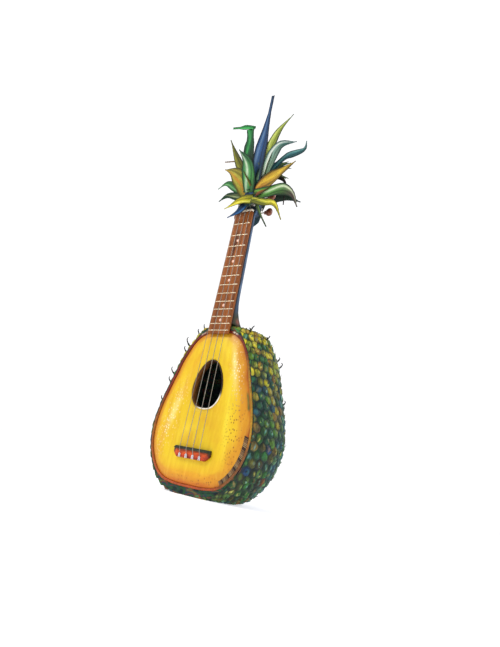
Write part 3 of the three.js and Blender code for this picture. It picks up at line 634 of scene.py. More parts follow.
def build_soundboard(material):
    """The yellow face, its rolled edge and its soundhole, shaded from the edge inwards in broad strokes."""
    edge = inset(face, BINDING_WIDTH + 0.3)
    steps = [0, 0.35, 1, 2, 3.5, 5.5, 8, 11, 14, 17.5, ROLL_WIDTH]
    shares = np.linspace(0, 1, 14)[1:]
    inner, lip = inset(edge, ROLL_WIDTH), inset(hole, -0.3)
    loops = [ring(edge, BACK_Y), *[ring(inset(edge, d), face_y(d)) for d in steps]]
    loops += [ring(inner + (lip - inner) * t, FLAT_Y) for t in shares]
    loops += [ring(lip, FLAT_Y + 0.5), ring(lip, BACK_Y)]
    inwards = np.array([0, *steps, *(ROLL_WIDTH + 60 * shares), 81, 81])

    def colour(verts, depth):
        d, x, z = inwards[depth], verts[:, 0], verts[:, 2]
        reach = d * (1 - 0.42 * smoothstep(10, 70, x)) * (0.7 + 0.3 * smoothstep(20, 75, z))
        tone = layered(FACE_TONES, reach + 1.5 * np.sin(z / 9) * np.cos(x / 7))
        tone = toward(tone, "cc6a1c", (1 - smoothstep(17, 27, z)) * 0.8)
        for *oval, stroke_tone, amount in HIGHLIGHTS:
            tone = toward(tone, stroke_tone, near_to(verts, *oval) * amount)
        rim = (d > 1.0) * (d < 5) * (x > 0) * smoothstep(136, 142, z) * (1 - smoothstep(160, 168, z))
        return opaque(toward(tone, "1f5a2a", rim * 0.9))

    def stroke(verts, depth):
        # light: pale dots stippled over the two painted highlights; dark: where rust dots gather, on the
        # right and along the bottom
        light = np.maximum(near_to(verts, -62, 112, 13, 48, -0.25), near_to(verts, 52, 196, 9, 44, 0.25))
        dark = np.maximum(near_to(verts, 70, 105, 15, 52, 0.1), 0.8 * near_to(verts, 30, 24, 60, 8))
        return np.stack([light, dark, depth * 0.0], axis=1)

    ringed("soundboard_face", loops, material, ["soundboard"], colour, stroke)


def build_binding(material):
    """The rounded rim round the face, rust below and dark red above, with a few small pale spots painted as
    highlights.
    """
    half = [(0, BACK_Y), (0, -42.4), (0.35, -43.2), (1.1, -43.7)]
    profile = [*half, (BINDING_WIDTH / 2, -43.85), *[(BINDING_WIDTH - d, y) for d, y in half[::-1]]]
    loops = [ring(inset(face, d), y) for d, y in profile]

    def colour(verts, depth):
        x, z = verts[:, 0], verts[:, 2]
        tone = layered([(0, "a8481c"), (30, "a84e1c"), (90, "9c5e22"), (135, "8a4a1c"), (155, "7a2a16"),
                        (270, "6a2018")], np.where(x < 0, z, z * 0.9))
        warm = smoothstep(40, 90, x) * smoothstep(70, 110, z) * (1 - smoothstep(205, 235, z))
        tone = toward(tone, "a87e1e", warm * 0.9)
        tone = toward(tone, "6b4a26", smoothstep(45, 72, x) * (1 - smoothstep(70, 100, z)) * 0.8)
        # painted highlights: small pale spots near the top corners and one on the right
        for px, pz in ((-38, 258), (36, 259), (30, 261.5), (-33, 260.5), (84, 178)):
            tone = toward(tone, "f6ead0", np.exp(-((x - px) ** 2 + (z - pz) ** 2) / 4))
        return opaque(tone)

    ringed("face_binding", loops, material, ["edge_binding"], colour)


ROPE_BLOCKS, ROPE_SLANT, ROPE_START, ROPE_END = 84, 0.9, 0.7, 6.5
BLOCK_FACES = [(0, 1, 2, 3), (7, 6, 5, 4), *[(a, 4 + a, 4 + (a + 1) % 4, (a + 1) % 4) for a in range(4)]]
ROPE_TONES = ["9c8258", "3f2a1a", "6f5030", "2c1f18", "7c6040"]


def build_rope_inlay(material):
    """A hatched strip let into the rolled edge at the lower right: slanted blocks of cream and dark brown."""
    edge = inset(face, BINDING_WIDTH + 0.3)
    lines = {d: inset(edge, d) for d in (ROPE_START, ROPE_END)}
    chosen = [k for k in range(LOOP) if edge[k, 0] > 60 and edge[k, 1] < 100]
    spots = np.linspace(chosen[0], chosen[-1], ROPE_BLOCKS)
    gap = (spots[1] - spots[0]) * 0.46
    verts, faces, tints = [], [], []
    for n, k in enumerate(spots):
        corners = [(k - gap, ROPE_START), (k + gap, ROPE_START),
                   (k + gap + ROPE_SLANT, ROPE_END), (k - gap + ROPE_SLANT, ROPE_END)]
        faces += moved(BLOCK_FACES, len(verts))
        for lift in (-0.45, 0.8):
            for where, d in corners:
                x, z = (np.interp(where, range(LOOP), lines[d][:, axis]) for axis in (0, 1))
                verts.append((x, face_y(d) + lift, z))
        tints += [linear(ROPE_TONES[(n * 7 + n // 3) % 5])] * 8
    piece("rope_inlay", verts, faces, material, colours=tints, smooth=False)


LINER_WALL = 2.2


def build_hole_liner(material):
    """The ring inside the soundhole: a left wall painted brown as lit and the rest painted dark as shade,
    with a painted cream highlight on the lower right of its lip and painted shade on the rest of the lip.
    """
    half = [(0, -34), (0, -45.9), (0.5, -46.35)]
    profile = [*half, (LINER_WALL / 2, -46.4), *[(LINER_WALL - d, y) for d, y in half[::-1]]]
    loops = [ring(inset(hole, d), y) for d, y in profile]

    def colour(verts, depth):
        x, z = verts[:, 0], verts[:, 2]
        # painted light on the left wall, fading to painted shade further in
        tone = layered([(-34, "9a6428"), (-24, "7a4a1e"), (0, "2c1a0e"), (34, "23150c")], x)
        # painted highlight: cream on the lower right of the lip
        lip = ((depth > 0) & (depth < 5)) * smoothstep(-22, -4, x) * (1 - smoothstep(150, 166, z))
        tone = toward(tone, "f7efd8", lip)
        # painted shade on the rest of the lip
        dark = ((depth > 0) & (depth < 5)) * (1 - lip)
        return opaque(toward(tone, "3a230f", dark * 0.8))

    ringed("soundhole_ring", loops, material, ["soundhole_liner"], colour)


# ---------------------------------------------------------------- neck, fretboard and strings
SADDLE_Z, SCALE_LENGTH = 67.7, 412
NUT_Z = SADDLE_Z + SCALE_LENGTH
FRETS = 13
BOARD_END_Z, BOARD_Y, BOARD_HALF_DEPTH = 257.0, -48.1, 2.42
FRET_Y = -50.62
DOTTED_FRETS = (3, 5, 7, 10, 12)
DOT_PROFILE = [(-49.8, 2.6), (-50.6, 2.6), (-50.78, 2.3), (-50.85, 1.2)]  # y and radius
BRIDGE_HALF_WIDTH, BRIDGE_LOW_Z, BRIDGE_TOP_Z, BRIDGE_BACK_Y = 36.5, 54, 71, -45.4
KNOT_RADIUS, KNOT_Y = 1.35, -52.9
STRING_TIE_Y, STRING_SADDLE_Y, STRING_NUT_Y = -53.3, -56.2, -52.6
STRING_RADII = [0.4, 0.5, 0.55, 0.45]
STRING_X_NUT = [-13.8, -4.6, 4.6, 13.8]
STRING_X_SADDLE = [-20.4, -6.8, 6.8, 20.4]
POSTS = {"low_left": (-12.5, 496), "high_left": (-12.5, 528), "high_right": (12.5, 528),
         "low_right": (12.5, 496)}
BUTTON_X = 25.5
COIL_Y, GEAR_Y, WORM_DROP = -49.5, -25.6, 7.8
POST_RADIUS, WINDING_TURNS = 3, 3.2


def fret_z(n):
    """The height of a fret; fret 0 is the nut."""
    return SADDLE_Z + SCALE_LENGTH * 2 ** (-n / 12)


def board_half(z):
    """Half the width of the fretboard, which narrows toward the nut."""
    return 22 + (18 - 22) * (z - BOARD_END_Z) / (NUT_Z - BOARD_END_Z)


def smoothed_copy(name, node, voxel_mm, passes, material, colour_of=None):
    """A rounded version of a CAD solid: remeshed finely, smoothed, and coloured point by point."""
    source = NODES[node]
    mesh = source.data.copy()
    mesh.name = name
    mesh.materials.clear()
    obj = bpy.data.objects.new(name, mesh)
    obj.matrix_world = source.matrix_world.copy()
    bpy.context.scene.collection.objects.link(obj)
    remesh = obj.modifiers.new("remesh", "REMESH")
    remesh.mode, remesh.voxel_size = "VOXEL", voxel_mm * MM
    soft = obj.modifiers.new("soft", "SMOOTH")
    soft.factor, soft.iterations = 0.5, passes
    graph = bpy.context.evaluated_depsgraph_get()
    made = bpy.data.meshes.new_from_object(obj.evaluated_get(graph))
    made.name = name + "_mesh"
    obj.modifiers.clear()
    obj.data = made
    made.materials.clear()
    made.materials.append(material)
    made.polygons.foreach_set("use_smooth", [True] * len(made.polygons))
    if colour_of:
        co = np.zeros(len(made.vertices) * 3, np.float32)
        made.vertices.foreach_get("co", co)
        layer = made.color_attributes.new("tint", "FLOAT_COLOR", "POINT")
        layer.data.foreach_set("color", opaque(colour_of(co.reshape(-1, 3) / MM)).astype(np.float32).ravel())
    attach(obj, BODY)
    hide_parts(node)
    return obj


def neck_colour(p):
    """Blue-black with painted shading of the round neck, a painted highlight along the side and painted shade
    toward the fretboard, and an olive brown heel with one red-pink painted highlight.
    """
    x, y, z = p[:, 0], p[:, 1], p[:, 2]
    # painted shade: darker toward the front edge next to the fretboard, applied at the return
    side = smoothstep(-46, -40, y)
    # painted shading of the round neck: lighter across the middle of the side, dark toward front and back
    blue = layered([(-46, "10181f"), (-43.5, "2c4054"), (-39, "3a5474"), (-34, "22344a"), (-29, "0e161c")], y)
    # painted highlight: a streak along the side
    painted_sheen = np.exp(-((y + 40.5) / 1.3) ** 2) * smoothstep(300, 330, z)
    painted_sheen *= 0.3 + 0.3 * np.sin(z / 17) * np.sin(z / 5.3)
    blue = toward(blue, "7f9cc4", np.maximum(painted_sheen, 0))
    heel = layered([(-46, "2c1810"), (-38, "33381f"), (-10, "262c1c"), (10, "181e14")], y)
    blue = blend_rows(blue, heel, 1 - smoothstep(286, 306, z))
    # painted highlight: a red-pink patch on the heel's right side
    painted_heel_highlight = np.exp(-(((y + 30) / 5) ** 2 + ((z - 283) / 4) ** 2)) * (x > 0)
    return toward(blue, "c06a58", painted_heel_highlight * 0.8) * (0.5 + 0.5 * side)[:, None]


def rounded_bar(name, sections, material, replaces=(), colour_of=None, body=BODY):
    """A bar through rounded oblong sections: (centre, half width, half height, corner share)."""
    verts, count = [], 24
    for centre, wide, high, power in sections:
        for k in range(count):
            a = 2 * math.pi * k / count
            c, s = math.cos(a), math.sin(a)
            verts.append(np.asarray(centre) + np.asarray(wide) * math.copysign(abs(c) ** power, c)
                         + np.asarray(high) * math.copysign(abs(s) ** power, s))
    faces = grid_faces(len(sections), count, closed_columns=True)
    faces += [tuple(range(count))[::-1], tuple(range(len(verts) - count, len(verts)))]
    colours = opaque(colour_of(np.array(verts))) if colour_of else None
    return piece(name, verts, faces, material, body, replaces, colours)


def across_bar(xs, y, z, half_deep, half_high, corner):
    """Sections of a bar that runs across the ukulele; all but the corner may be a function of x."""
    at = lambda value, x: value(x) if callable(value) else value
    return [((x, at(y, x), at(z, x)), (0, 0, at(half_high, x)), (0, -at(half_deep, x), 0), corner)
            for x in xs]


def notched(places, depth, width):
    """How deep the string notches are at each x."""
    return lambda x: depth * sum(math.exp(-((x - s) / width) ** 2) for s in places)


def build_fretboard(wood_paint, wire, bone, dot):
    """The fretboard with its frets and position dots, and the nut above it."""
    zs = [BOARD_END_Z, BOARD_END_Z + 0.6, *np.linspace(260, NUT_Z - 3, 40), NUT_Z - 0.5, NUT_Z]
    trims = [0.5, 0.1, *[0] * 40, 0.1, 0.4]
    sections = [((0, BOARD_Y, z), (board_half(z) - t, 0, 0), (0, BOARD_HALF_DEPTH - t / 2, 0), 0.16)
                for z, t in zip(zs, trims)]
    rounded_bar("fretboard_wood", sections, wood_paint, ["fretboard"])
    ends = [0.25, 0.75]
    for n in range(1, FRETS + 1):
        z, half = fret_z(n), board_half(fret_z(n)) - 0.3
        xs = [-half, -half + 0.25, *np.linspace(-half + 0.8, half - 0.8, 7), half - 0.25, half]
        size = dict(zip(xs, [*ends, *[1] * 7, *ends[::-1]]))
        sections = across_bar(xs, FRET_Y, z, lambda x: 0.98 * size[x], lambda x: 0.75 * size[x], 0.85)
        rounded_bar(f"fret_wire_{n:02d}", sections, wire, [f"fret_{n:02d}"])
    for n in DOTTED_FRETS:
        z = (fret_z(n) + fret_z(n - 1)) / 2
        rounded_bar(f"position_dot_{n:02d}", [((0, y, z), (r, 0, 0), (0, 0, r), 1.0) for y, r in DOT_PROFILE],
                    dot)
    notch = notched(STRING_X_NUT, 0.35, 0.7)
    end = lambda x: 0.25 if abs(x) > 17.7 else 0
    rounded_bar("nut_bone", across_bar(np.linspace(-18, 18, 61), lambda x: -48.7 + notch(x) / 2, NUT_Z + 2.15,
                                       lambda x: 2.85 - notch(x) / 2 - end(x), lambda x: 1.8 - end(x), 0.45),
                bone, ["nut"])


def bridge_colour(p):
    """Red, darker at the ends and at the foot, and nearly black from just below the saddle up."""
    x, z = p[:, 0], p[:, 2]
    tone = layered([(53, "7c2410"), (58, "c8431a"), (63, "d9561f"), (71, "9a3314")], z + 2 * np.sin(x / 3))
    tone = toward(tone, "5a1c10", smoothstep(31, 36.5, np.abs(x)))
    return toward(tone, "26301e", smoothstep(63.4, 65.0, z + 0.6 * np.sin(x / 2)))


def build_bridge(red, dark, knot):
    """The bridge with tapered ends, the saddle on it, and the two turns that tie each string."""
    right = [30.5, 33.5, 35.5, 36.2, BRIDGE_HALF_WIDTH]
    xs = [*(-x for x in right[::-1]), *np.linspace(-28, 28, 21), *right]
    taper = lambda x: max(0.0, (abs(x) - 28) / 8.5)
    low = lambda x: BRIDGE_LOW_Z + 7 * taper(x)
    front = lambda x: -52 + 2.2 * taper(x) ** 1.5
    edge = lambda x: 0.35 if abs(x) > 36.3 else 0.0
    rounded_bar("bridge_block", across_bar(
        xs, lambda x: (front(x) + BRIDGE_BACK_Y) / 2, lambda x: (low(x) + BRIDGE_TOP_Z) / 2,
        lambda x: -(front(x) - BRIDGE_BACK_Y) / 2 - edge(x), lambda x: (BRIDGE_TOP_Z - low(x)) / 2 - edge(x),
        0.28), red, ["bridge"], bridge_colour)
    notch = notched(STRING_X_SADDLE, 0.3, 0.8)
    end = lambda x: 0.4 * max(0.0, abs(x) - 33)
    rounded_bar("saddle_bar", across_bar(
        np.linspace(-34, 34, 75), lambda x: -51.9 + notch(x) / 2, SADDLE_Z,
        lambda x: 3.0 - notch(x) / 2 - end(x), lambda x: 1.2 - end(x), 0.5), dark, ["saddle"])
    for i, x in enumerate(STRING_X_SADDLE):
        for turn, z in enumerate((55.6, 58.4)):
            angles = [math.radians(-60 + 300 * k / 14) for k in range(15)]
            path = [(x + KNOT_RADIUS * math.cos(a), KNOT_Y - 0.5 * math.sin(a * 0.5) - 0.25 * turn,
                     z + KNOT_RADIUS * math.sin(a)) for a in angles]
            tube(f"string_knot_{i + 1}_{'ab'[turn]}", path, STRING_RADII[i] + 0.25, knot, sides=8)


def side_of(x):
    return 1 if x > 0 else -1


def build_strings(material):
    """Each string from its knot over the saddle and nut to its post, then the turns wound on the post."""
    for i, (radius, (x, z)) in enumerate(zip(STRING_RADII, POSTS.values())):
        beside = x - side_of(x) * (POST_RADIUS + radius + 0.25)
        sx, nx = STRING_X_SADDLE[i], STRING_X_NUT[i]
        corners = np.array([(sx, KNOT_Y, 55.5), (sx, STRING_TIE_Y, 61.5), (sx, STRING_SADDLE_Y, SADDLE_Z),
                            (nx, STRING_NUT_Y, NUT_Z + 2), (beside, COIL_Y, z - 1),
                            (beside, COIL_Y, z + 1.5)])
        path = []
        for a, b in zip(corners, corners[1:]):
            cut = min(1.2 / np.linalg.norm(b - a), 0.3)
            path += [a + (b - a) * t for t in (cut, 0.5, 1 - cut)]
        tube(f"string_{i + 1}_nylon", path, radius, material, replaces=[f"string_{i + 1}"])
    for radius, (place, (x, z)) in zip(STRING_RADII, POSTS.items()):
        away, side = POST_RADIUS + radius, side_of(x)
        path = []
        for t in (k / 63 for k in range(64)):
            a = math.pi * (side > 0) - side * 2 * math.pi * WINDING_TURNS * t
            path.append((x + away * math.cos(a), COIL_Y + 1.2 - 3.4 * t, z + away * math.sin(a)))
        tube(f"string_winding_{place}", path, radius, material, body=f"post_{place}", sides=8)


KNOB_PROFILE = [(0.01, 0), (3.2, 0), (3.6, 0.4), (3.6, 2.1), (4.2, 3.5), (5.6, 5.1), (6.9, 7.1), (7.4, 9.1),
                (7.3, 11.1), (6.5, 13.1), (4.8, 14.6), (2.4, 15.2), (0.01, 15.3)]  # radius, distance out
KNOB_FLATNESS = 0.62


def build_knobs(material):
    """A flattened round button on each shaft, which turns with it."""
    for place, (x, z) in POSTS.items():
        side = side_of(x)
        sections = [((side * (BUTTON_X + out), GEAR_Y, z - WORM_DROP), (0, r * KNOB_FLATNESS, 0),
                     (0, 0, r), 1.0) for r, out in catmull(KNOB_PROFILE, 40)]
        rounded_bar(f"knob_{place}", sections[::side], material, [f"tuner_button_{place}"],
                    body=f"knob_{place}")


# ---------------------------------------------------------------- crown
# name, spine, width, colours along the blade, colour of a pale streak down one side painted as highlight,
# colour of the back painted darker as shade
LEAVES = {
    "crown_front_leaves": [
        ("front_centre", [(14, -62, 508), (12, -69, 536), (-1, -71, 570), (-28, -68, 601)], 25,
         "3a6a3c 4f9f50 3a7a48 24503a", "e4f4d8", "1a3a2c"),
        ("olive_left", [(5, -61.4, 528), (-21, -65, 570), (-61, -61, 634)], 16,
         "4a5218 6e6f1e 6a6a1c 4a4f18", "9a9a34", "343a18"),
        ("yellow_left", [(12, -61.1, 503), (-2, -67, 526), (-25, -68, 552), (-54, -65, 566)], 29,
         "7f7a26 a09a32 b0a63c b09a4a", "c4741c", "5c581c"),
        ("low_left", [(24, -61.5, 494), (6, -66, 493), (-35, -64, 483)], 17,
         "9aa01e c4bc22 e0d22c c8c02a", "f2ec7a", "5a6218"),
        ("blue_low_left", [(16, -60.9, 491), (2, -64, 474), (-26, -61, 466)], 13,
         "0d1c34 12345a 174f88 12426e", "2f74b0", "0a1824"),
        ("drooping_right", [(20, -61.8, 494), (54, -68, 480), (77, -70, 473), (95, -68, 443)], 13,
         "7a8020 8a8f24 d8cc2c 8a8420", "f0e85a", "3e4214"),
        ("green_right",
         [(24, -61.2, 502), (56, -66, 499), (84, -66, 500), (104, -64, 490), (117, -62, 466)], 23,
         "6a9a3a 4f8f3a 4a7a3a 5c4c48 4a3a38", "e8f8d0", "22402c"),
        ("golden_right", [(27, -61.6, 506), (52, -66, 519), (77, -67, 535), (98, -63, 554)], 27,
         "9a4a24 b0882a bc9832 7c6824", "e8c63c", "4a3a16"),
        ("sage_left", [(15, -60.7, 499), (-10, -64, 504), (-42, -62, 513)], 10,
         "22341c 4a5c34 6f7f52 5a6a48", "a8b48a", "1e2c1c"),
        ("green_left", [(13, -61.3, 504), (-16, -63, 519), (-46, -60, 538), (-69, -56, 533)], 13,
         "1f4a2c 2f6a3a 3f8a4a 4a7a4a", "8ac080", "16301f"),
        ("tall_blue", [(25, -62.3, 518), (21, -62, 563), (8, -48, 644), (-3, -36, 736)], 25,
         "17324a 23466a 2a5286 1f4474 162c48", "6f90b4", "0a1a2a"),
        ("yellow_green", [(30, -61.9, 525), (33, -60, 568), (38, -48, 636), (55, -38, 677)], 21,
         "4a6a34 7f9a3a a8b848 9aac44 3a4a24", "dfe68a", "12302a"),
        ("sage_right", [(30, -61.6, 517), (43, -63, 552), (55, -56, 598), (81, -48, 606)], 27,
         "5a8058 86a880 86ab98 4a7a74 2c5458", "f8faf0", "1f4a4c"),
        ("teal_right", [(31, -61, 521), (57, -58, 556), (69, -48, 578), (94, -40, 592), (93, -36, 613)], 16,
         "2a5450 2f6670 3a7078 35686c 4a7c78", "7ab0a8", "143038"),
        ("folded", [(10, -61.2, 529), (-5, -61.6, 583), (-17, -56, 632), (-23, -54.4, 653)], 21,
         "1c3f34 1d4630 226a3a 2a8a44", "48b05c", "0f2c20"),
        ("folded_flag", [(-13, -55.4, 652), (-40, -53.5, 661), (-71, -52, 668)], 9,
         "2a9a48 2f9a4c 238a3e", "5cca6c", "123a24"),
        ("dry_right", [(30, -61.3, 511), (62, -60, 530), (82, -60, 519), (88, -60, 475)], 6,
         "3a2c1c 2c241c 241e1c 3a3434", "5a4c44", "1c1614"),
        ("dry_left", [(2, -60.4, 536), (-18, -60.6, 576), (-60, -64, 584)], 6,
         "5a4420 8a6228 8a6a3a 7a5a34", "b08a54", "3a2a18"),
        ("strand_low", [(22, -61.4, 505), (36, -62, 481), (47, -63, 462), (63, -61, 438)], 6,
         "2a3a1c 4a6a30 3a5a30 22301c", "7a9a50", "1a2414"),
    ],
    "crown_top_leaves": [
        ("top_up", [(2, -38, 583), (-4, -34, 614), (-16, -26, 650)], 22,
         "16325e 2c4f7a 3a6a8a 2a4a66", "8aa8c8", "10283f"),
        ("top_right", [(6, -36, 584), (14, -28, 614), (20, -12, 643)], 22,
         "1c4a34 3a7a44 5a8a4a 2a5a3a", "a8c880", "12301f"),
        ("top_left", [(-4, -34, 584), (-22, -24, 606), (-46, -8, 622)], 20,
         "5a6a1c 8a9028 a8a434 6a6a22", "d0cc5a", "343a18"),
        ("top_back", [(5, -31, 585), (9, -14, 599), (10, 10, 610)], 18,
         "1c4a52 2a6a78 3a7f8c 1f4a58", "7ab0b8", "12303a"),
    ],
    "crown_back_leaves": [
        ("back_up", [(0, -14, 542), (-20, 4, 582), (-44, 26, 620)], 22,
         "2a5a34 3f7a44 4f8a4a 2f5a34", "a8c880", "1c3a24"),
        ("back_far_left", [(-4, -14, 527), (-50, -13, 538), (-88, -8, 551), (-110, -5, 543)], 14,
         "2a6a34 4a8a3a 3f7a34 2a6a2c", "98c070", "1c3a24"),
        ("back_left", [(-4, -14, 514), (-30, 2, 528), (-62, 14, 522)], 20,
         "7a8a22 b8a834 c8bc44 7a7a28", "e8e080", "5a5a1c"),
        ("back_down", [(0, -14, 504), (-16, 2, 496), (-40, 16, 480)], 18,
         "1c4a52 2a6a6a 3a7f6a 1f4a3a", "8ac0a0", "12303a"),
        ("back_inner", [(4, -14, 532), (14, 6, 550), (-2, 32, 570)], 22,
         "1c4a34 3a7a4a 4f8a5a 2a5a3a", "a8d0a0", "12301f"),
        ("back_right", [(4, -14, 520), (34, 2, 536), (66, 18, 528)], 18,
         "2a4434 35523a 3a5438 2c4030", "7a966a", "16281c"),
    ],
}
BLUNT_TIPS = {"folded": 8.0, "tall_blue": 3.3, "folded_flag": 2.4}  # half-widths of the tips that aren't thin


def blade(name, spine, width, tones, highlight_tone, back_tone, normal, material, replaces=()):
    """A folded blade: a narrow blunt tip, fine teeth, a pale streak painted as highlight, one half painted
    darker as shade, dark edges, colour from root to tip, and a back painted darker as shade.
    """
    steps, across_count = 56, 17
    line = catmull(spine, steps)
    normal = np.asarray(normal, float)
    seed = sum(ord(c) for c in name)
    wave = lambda t, k: math.sin(t * (5 + seed % 4) + k * 1.7 + seed)
    verts, tints, strokes = [], [], []
    tone_table = np.array([rgb(c) for c in tones.split()])
    tone_places = range(len(tone_table))
    highlight_colour, back_colour = rgb(highlight_tone), rgb(back_tone)
    for layer in (1, -1):
        for i in range(steps):
            t = i / (steps - 1)
            along = line[min(i + 1, steps - 1)] - line[max(i - 1, 0)]
            along /= np.linalg.norm(along)
            across = np.cross(along, normal)
            across /= np.linalg.norm(across)
            out = np.cross(across, along)
            swell = 0.55 + 0.45 * math.sin(math.pi * min(1, 0.2 + 0.8 * t)) ** 0.85
            half = max(width / 2 * swell * min(1, (1.0 - t) * 2.1) ** 0.9, BLUNT_TIPS.get(name, 1.1))
            colour = np.array([np.interp(t * tone_places[-1], tone_places, row) for row in tone_table.T])
            for j in range(across_count):
                u = 2 * j / (across_count - 1) - 1
                tooth = 0.35 * abs(math.sin(t * 46 + seed)) if abs(u) == 1 and 0.1 < t < 0.93 else 0.0
                reach = u * (half + tooth)
                ripple = 0.9 * abs(u) * math.sin(t * 9 + u * 2 + seed) * min(half / 8, 1)
                fold = half * (0.34 * abs(u) ** 1.5 + 0.05 * wave(t, u)) + ripple
                thick = (0.75 * (1 - abs(u) ** 3) + 0.14) * min(1, 0.25 + (1 - t) * 3)
                verts.append(line[i] + across * reach + out * (fold + layer * thick))
                # the back is painted darker as shade, darkest near the root
                shade = colour if layer > 0 else back_colour * (0.7 + 0.6 * t)
                if layer > 0:
                    wander = u + 0.16 * math.sin(t * 7 + seed)
                    pale = math.exp(-((wander + 0.42) / 0.17) ** 2) * (0.35 + 0.65 * math.sin(math.pi * t))
                    # painted shade over one half of the fold, with a lighter stripe kept in it
                    shade = shade * (1 - 0.62 * smoothstep(0.02, 0.2, wander))
                    shade = shade + (colour - shade) * 0.55 * math.exp(-((wander - 0.55) / 0.12) ** 2)
                    # painted highlight: the pale streak
                    shade = shade + (highlight_colour - shade) * 0.75 * pale
                    shade = shade + (back_colour * 0.45 - shade) * smoothstep(0.7, 0.9, abs(u)) * 0.9
                tints.append((*np.clip(shade, 0, 1), 1))
                strokes.append((u * half, t * 90, 0))
    piece(f"leaf_{name}", verts, shell_faces(steps, across_count), material, replaces=replaces,
          colours=tints, uvw=strokes)


HEART_TONES = ["12303a 1c4a44 2a5a3a", "16304a 1f4a66 24506a", "243a1c 3f5a24 5a6a28",
               "1a3424 2a5a34 3a6a34", "12345a 1c4a7a 16304f", "10243a 1a3a5a 2a4a5a"]
HEART_LEAVES, FILL_LEAVES = 15, 15
CORE_Y = -37.5
BASE_HALF_HEIGHT = 43.6
BASES = [("front", 14, 526, 21.6, -59.8, -63.5), ("back", 0, 535, 15.6, -15.2, -11.5)]
BASE_TRIMS = [(0, 0.8), (0.2, 0), (0.8, 0), (1, 1.2), (1, 6)]  # share of the way out, and what comes off
TOP_SCALE_RINGS = [(39.5, 34), (34.5, 30), (29.5, 26), (24.5, 22), (19.5, 18)]  # radius and count
TOP_SCALE_TONES = ["5a7030", "8a8a3c", "94703c", "4a5f34", "b08c4c", "6f8440", "a07460"]
SCALE_FACES = [(0, 1, 4), (1, 2, 4), (2, 3, 4), (3, 0, 4), (1, 0, 5), (2, 1, 5), (3, 2, 5), (0, 3, 5)]


def plain_blade(name, spine, width, share, normal, leaf_paint):
    """A small blade in one of the heart tones, chosen by a share from 0 to 1."""
    tones = HEART_TONES[int(share * 5.99)]
    blade(name, spine, width, tones, tones.split()[-1], tones.split()[0], normal, leaf_paint)


def build_crown(leaf_paint, core, heart):
    """The listed leaves, the core they grow from, the pads under them, and small leaves over the middle."""
    for node, leaves in LEAVES.items():
        normal = (0, 1, 0.4) if node == "crown_back_leaves" else (0, -1, 0)
        for k, leaf in enumerate(leaves):
            blade(*leaf, normal, leaf_paint, [node] if k == 0 else [])
    smoothed_copy("crown_heart", "crown_core", 0.9, 6, core)
    for name, x, z, half, back, front in BASES:
        sections = [((x, back + (front - back) * t, z), (half - trim, 0, 0),
                     (0, 0, BASE_HALF_HEIGHT - trim), 1.0) for t, trim in BASE_TRIMS]
        rounded_bar(f"crown_{name}_base", sections, heart)
    for n in range(HEART_LEAVES):
        pick = lambda salt: float(hashed(n, 3, salt))
        angle = math.radians(-38 + 256 * n / (HEART_LEAVES - 1) + 14 * (pick(1) - 0.5))
        length = 17 + 11 * pick(2) + 9 * max(0.0, math.sin(angle))
        aim = np.array([math.cos(angle), 0, math.sin(angle)])
        root = np.array([14 + 10 * (pick(3) - 0.5), -61.6 - 0.05 * n, 514 + 18 * (pick(4) - 0.5)])
        bend = np.array([0, -1.6 - 1.2 * pick(5), 0])
        middle = root + aim * length * 0.5 + bend
        end = root + aim * length + bend * 0.6 + (0, 0, 8 * (pick(6) - 0.5))
        spine = [root, middle, end]
        plain_blade(f"heart_{n + 1:02d}", spine, 8 + 4 * pick(8), pick(7), (0, -1, 0), leaf_paint)


def build_crown_fill(leaf_paint):
    """Shorter leaves round the back and sides of the core, between the front cluster and the back one."""
    for n in range(FILL_LEAVES):
        pick = lambda salt: float(hashed(n, 7, salt))
        angle = math.radians(12 + 166 * n / (FILL_LEAVES - 1) + 8 * (pick(1) - 0.5))
        out = np.array([math.cos(angle), math.sin(angle), 0])
        length = 25 + 23 * max(0.0, math.sin(angle)) + 6 * pick(2)
        root = np.array([0, CORE_Y, 553 + 20 * pick(3)]) + out * (17, 15, 0)
        rise = np.array([0, 0, 0.5 + 0.3 * pick(4)])
        middle = root + (out * 0.45 + rise * 0.8) * length
        end = root + (out * 0.95 + rise * (0.7 + 0.5 * pick(5))) * length
        normal = (out[0], out[1], -0.3)
        plain_blade(f"fill_{n + 1:02d}", [root, middle, end], 12 + 5 * pick(8), pick(6), normal, leaf_paint)


def build_top_scales(material):
    """Leaf scars and dried scale stubs in rings on top of the fruit, round the foot of the neck."""
    verts, faces, tints = [], [], []
    for ring_number, (radius, count) in enumerate(TOP_SCALE_RINGS):
        for n in range(count):
            pick = lambda salt: float(hashed(n, 40 + ring_number, salt))
            angle = 2 * math.pi * (n + 0.5 * (ring_number % 2)) / count + 0.08 * (pick(1) - 0.5)
            out = np.array([math.cos(angle), DEPTH_RATIO * math.sin(angle), 0])
            aside = np.array([-math.sin(angle), DEPTH_RATIO * math.cos(angle), 0])
            wide, long = 2.9 * radius * math.pi / count / 2, 7 + 2.5 * pick(2)
            centre = out * radius + (0, 0, 273.7)
            if centre[1] + 1.0 < FACE_Y + 4 or (abs(centre[0]) < 17 and centre[1] < 2):
                continue
            base = centre - out * long * 0.5
            tip = centre + out * long * 0.5 + (0, 0, 1.2 + 1.6 * pick(3))
            left, right = centre - aside * wide * 0.6, centre + aside * wide * 0.6
            ridge = centre + (0, 0, 1.9 + 0.6 * pick(4))
            faces += moved(SCALE_FACES, len(verts))
            verts += [base, right, tip, left, ridge, centre - (0, 0, 0.3)]
            tone = np.array(linear(TOP_SCALE_TONES[int(pick(5) * (len(TOP_SCALE_TONES) - 0.01))]))
            # painted shade at the foot, down the sides and underneath; lighter toward the tip
            tints += [tone * 0.5, tone * 0.8, tone * 1.3, tone * 0.8, tone, tone * 0.5]
    piece("top_scales", verts, faces, material, colours=tints, smooth=False)


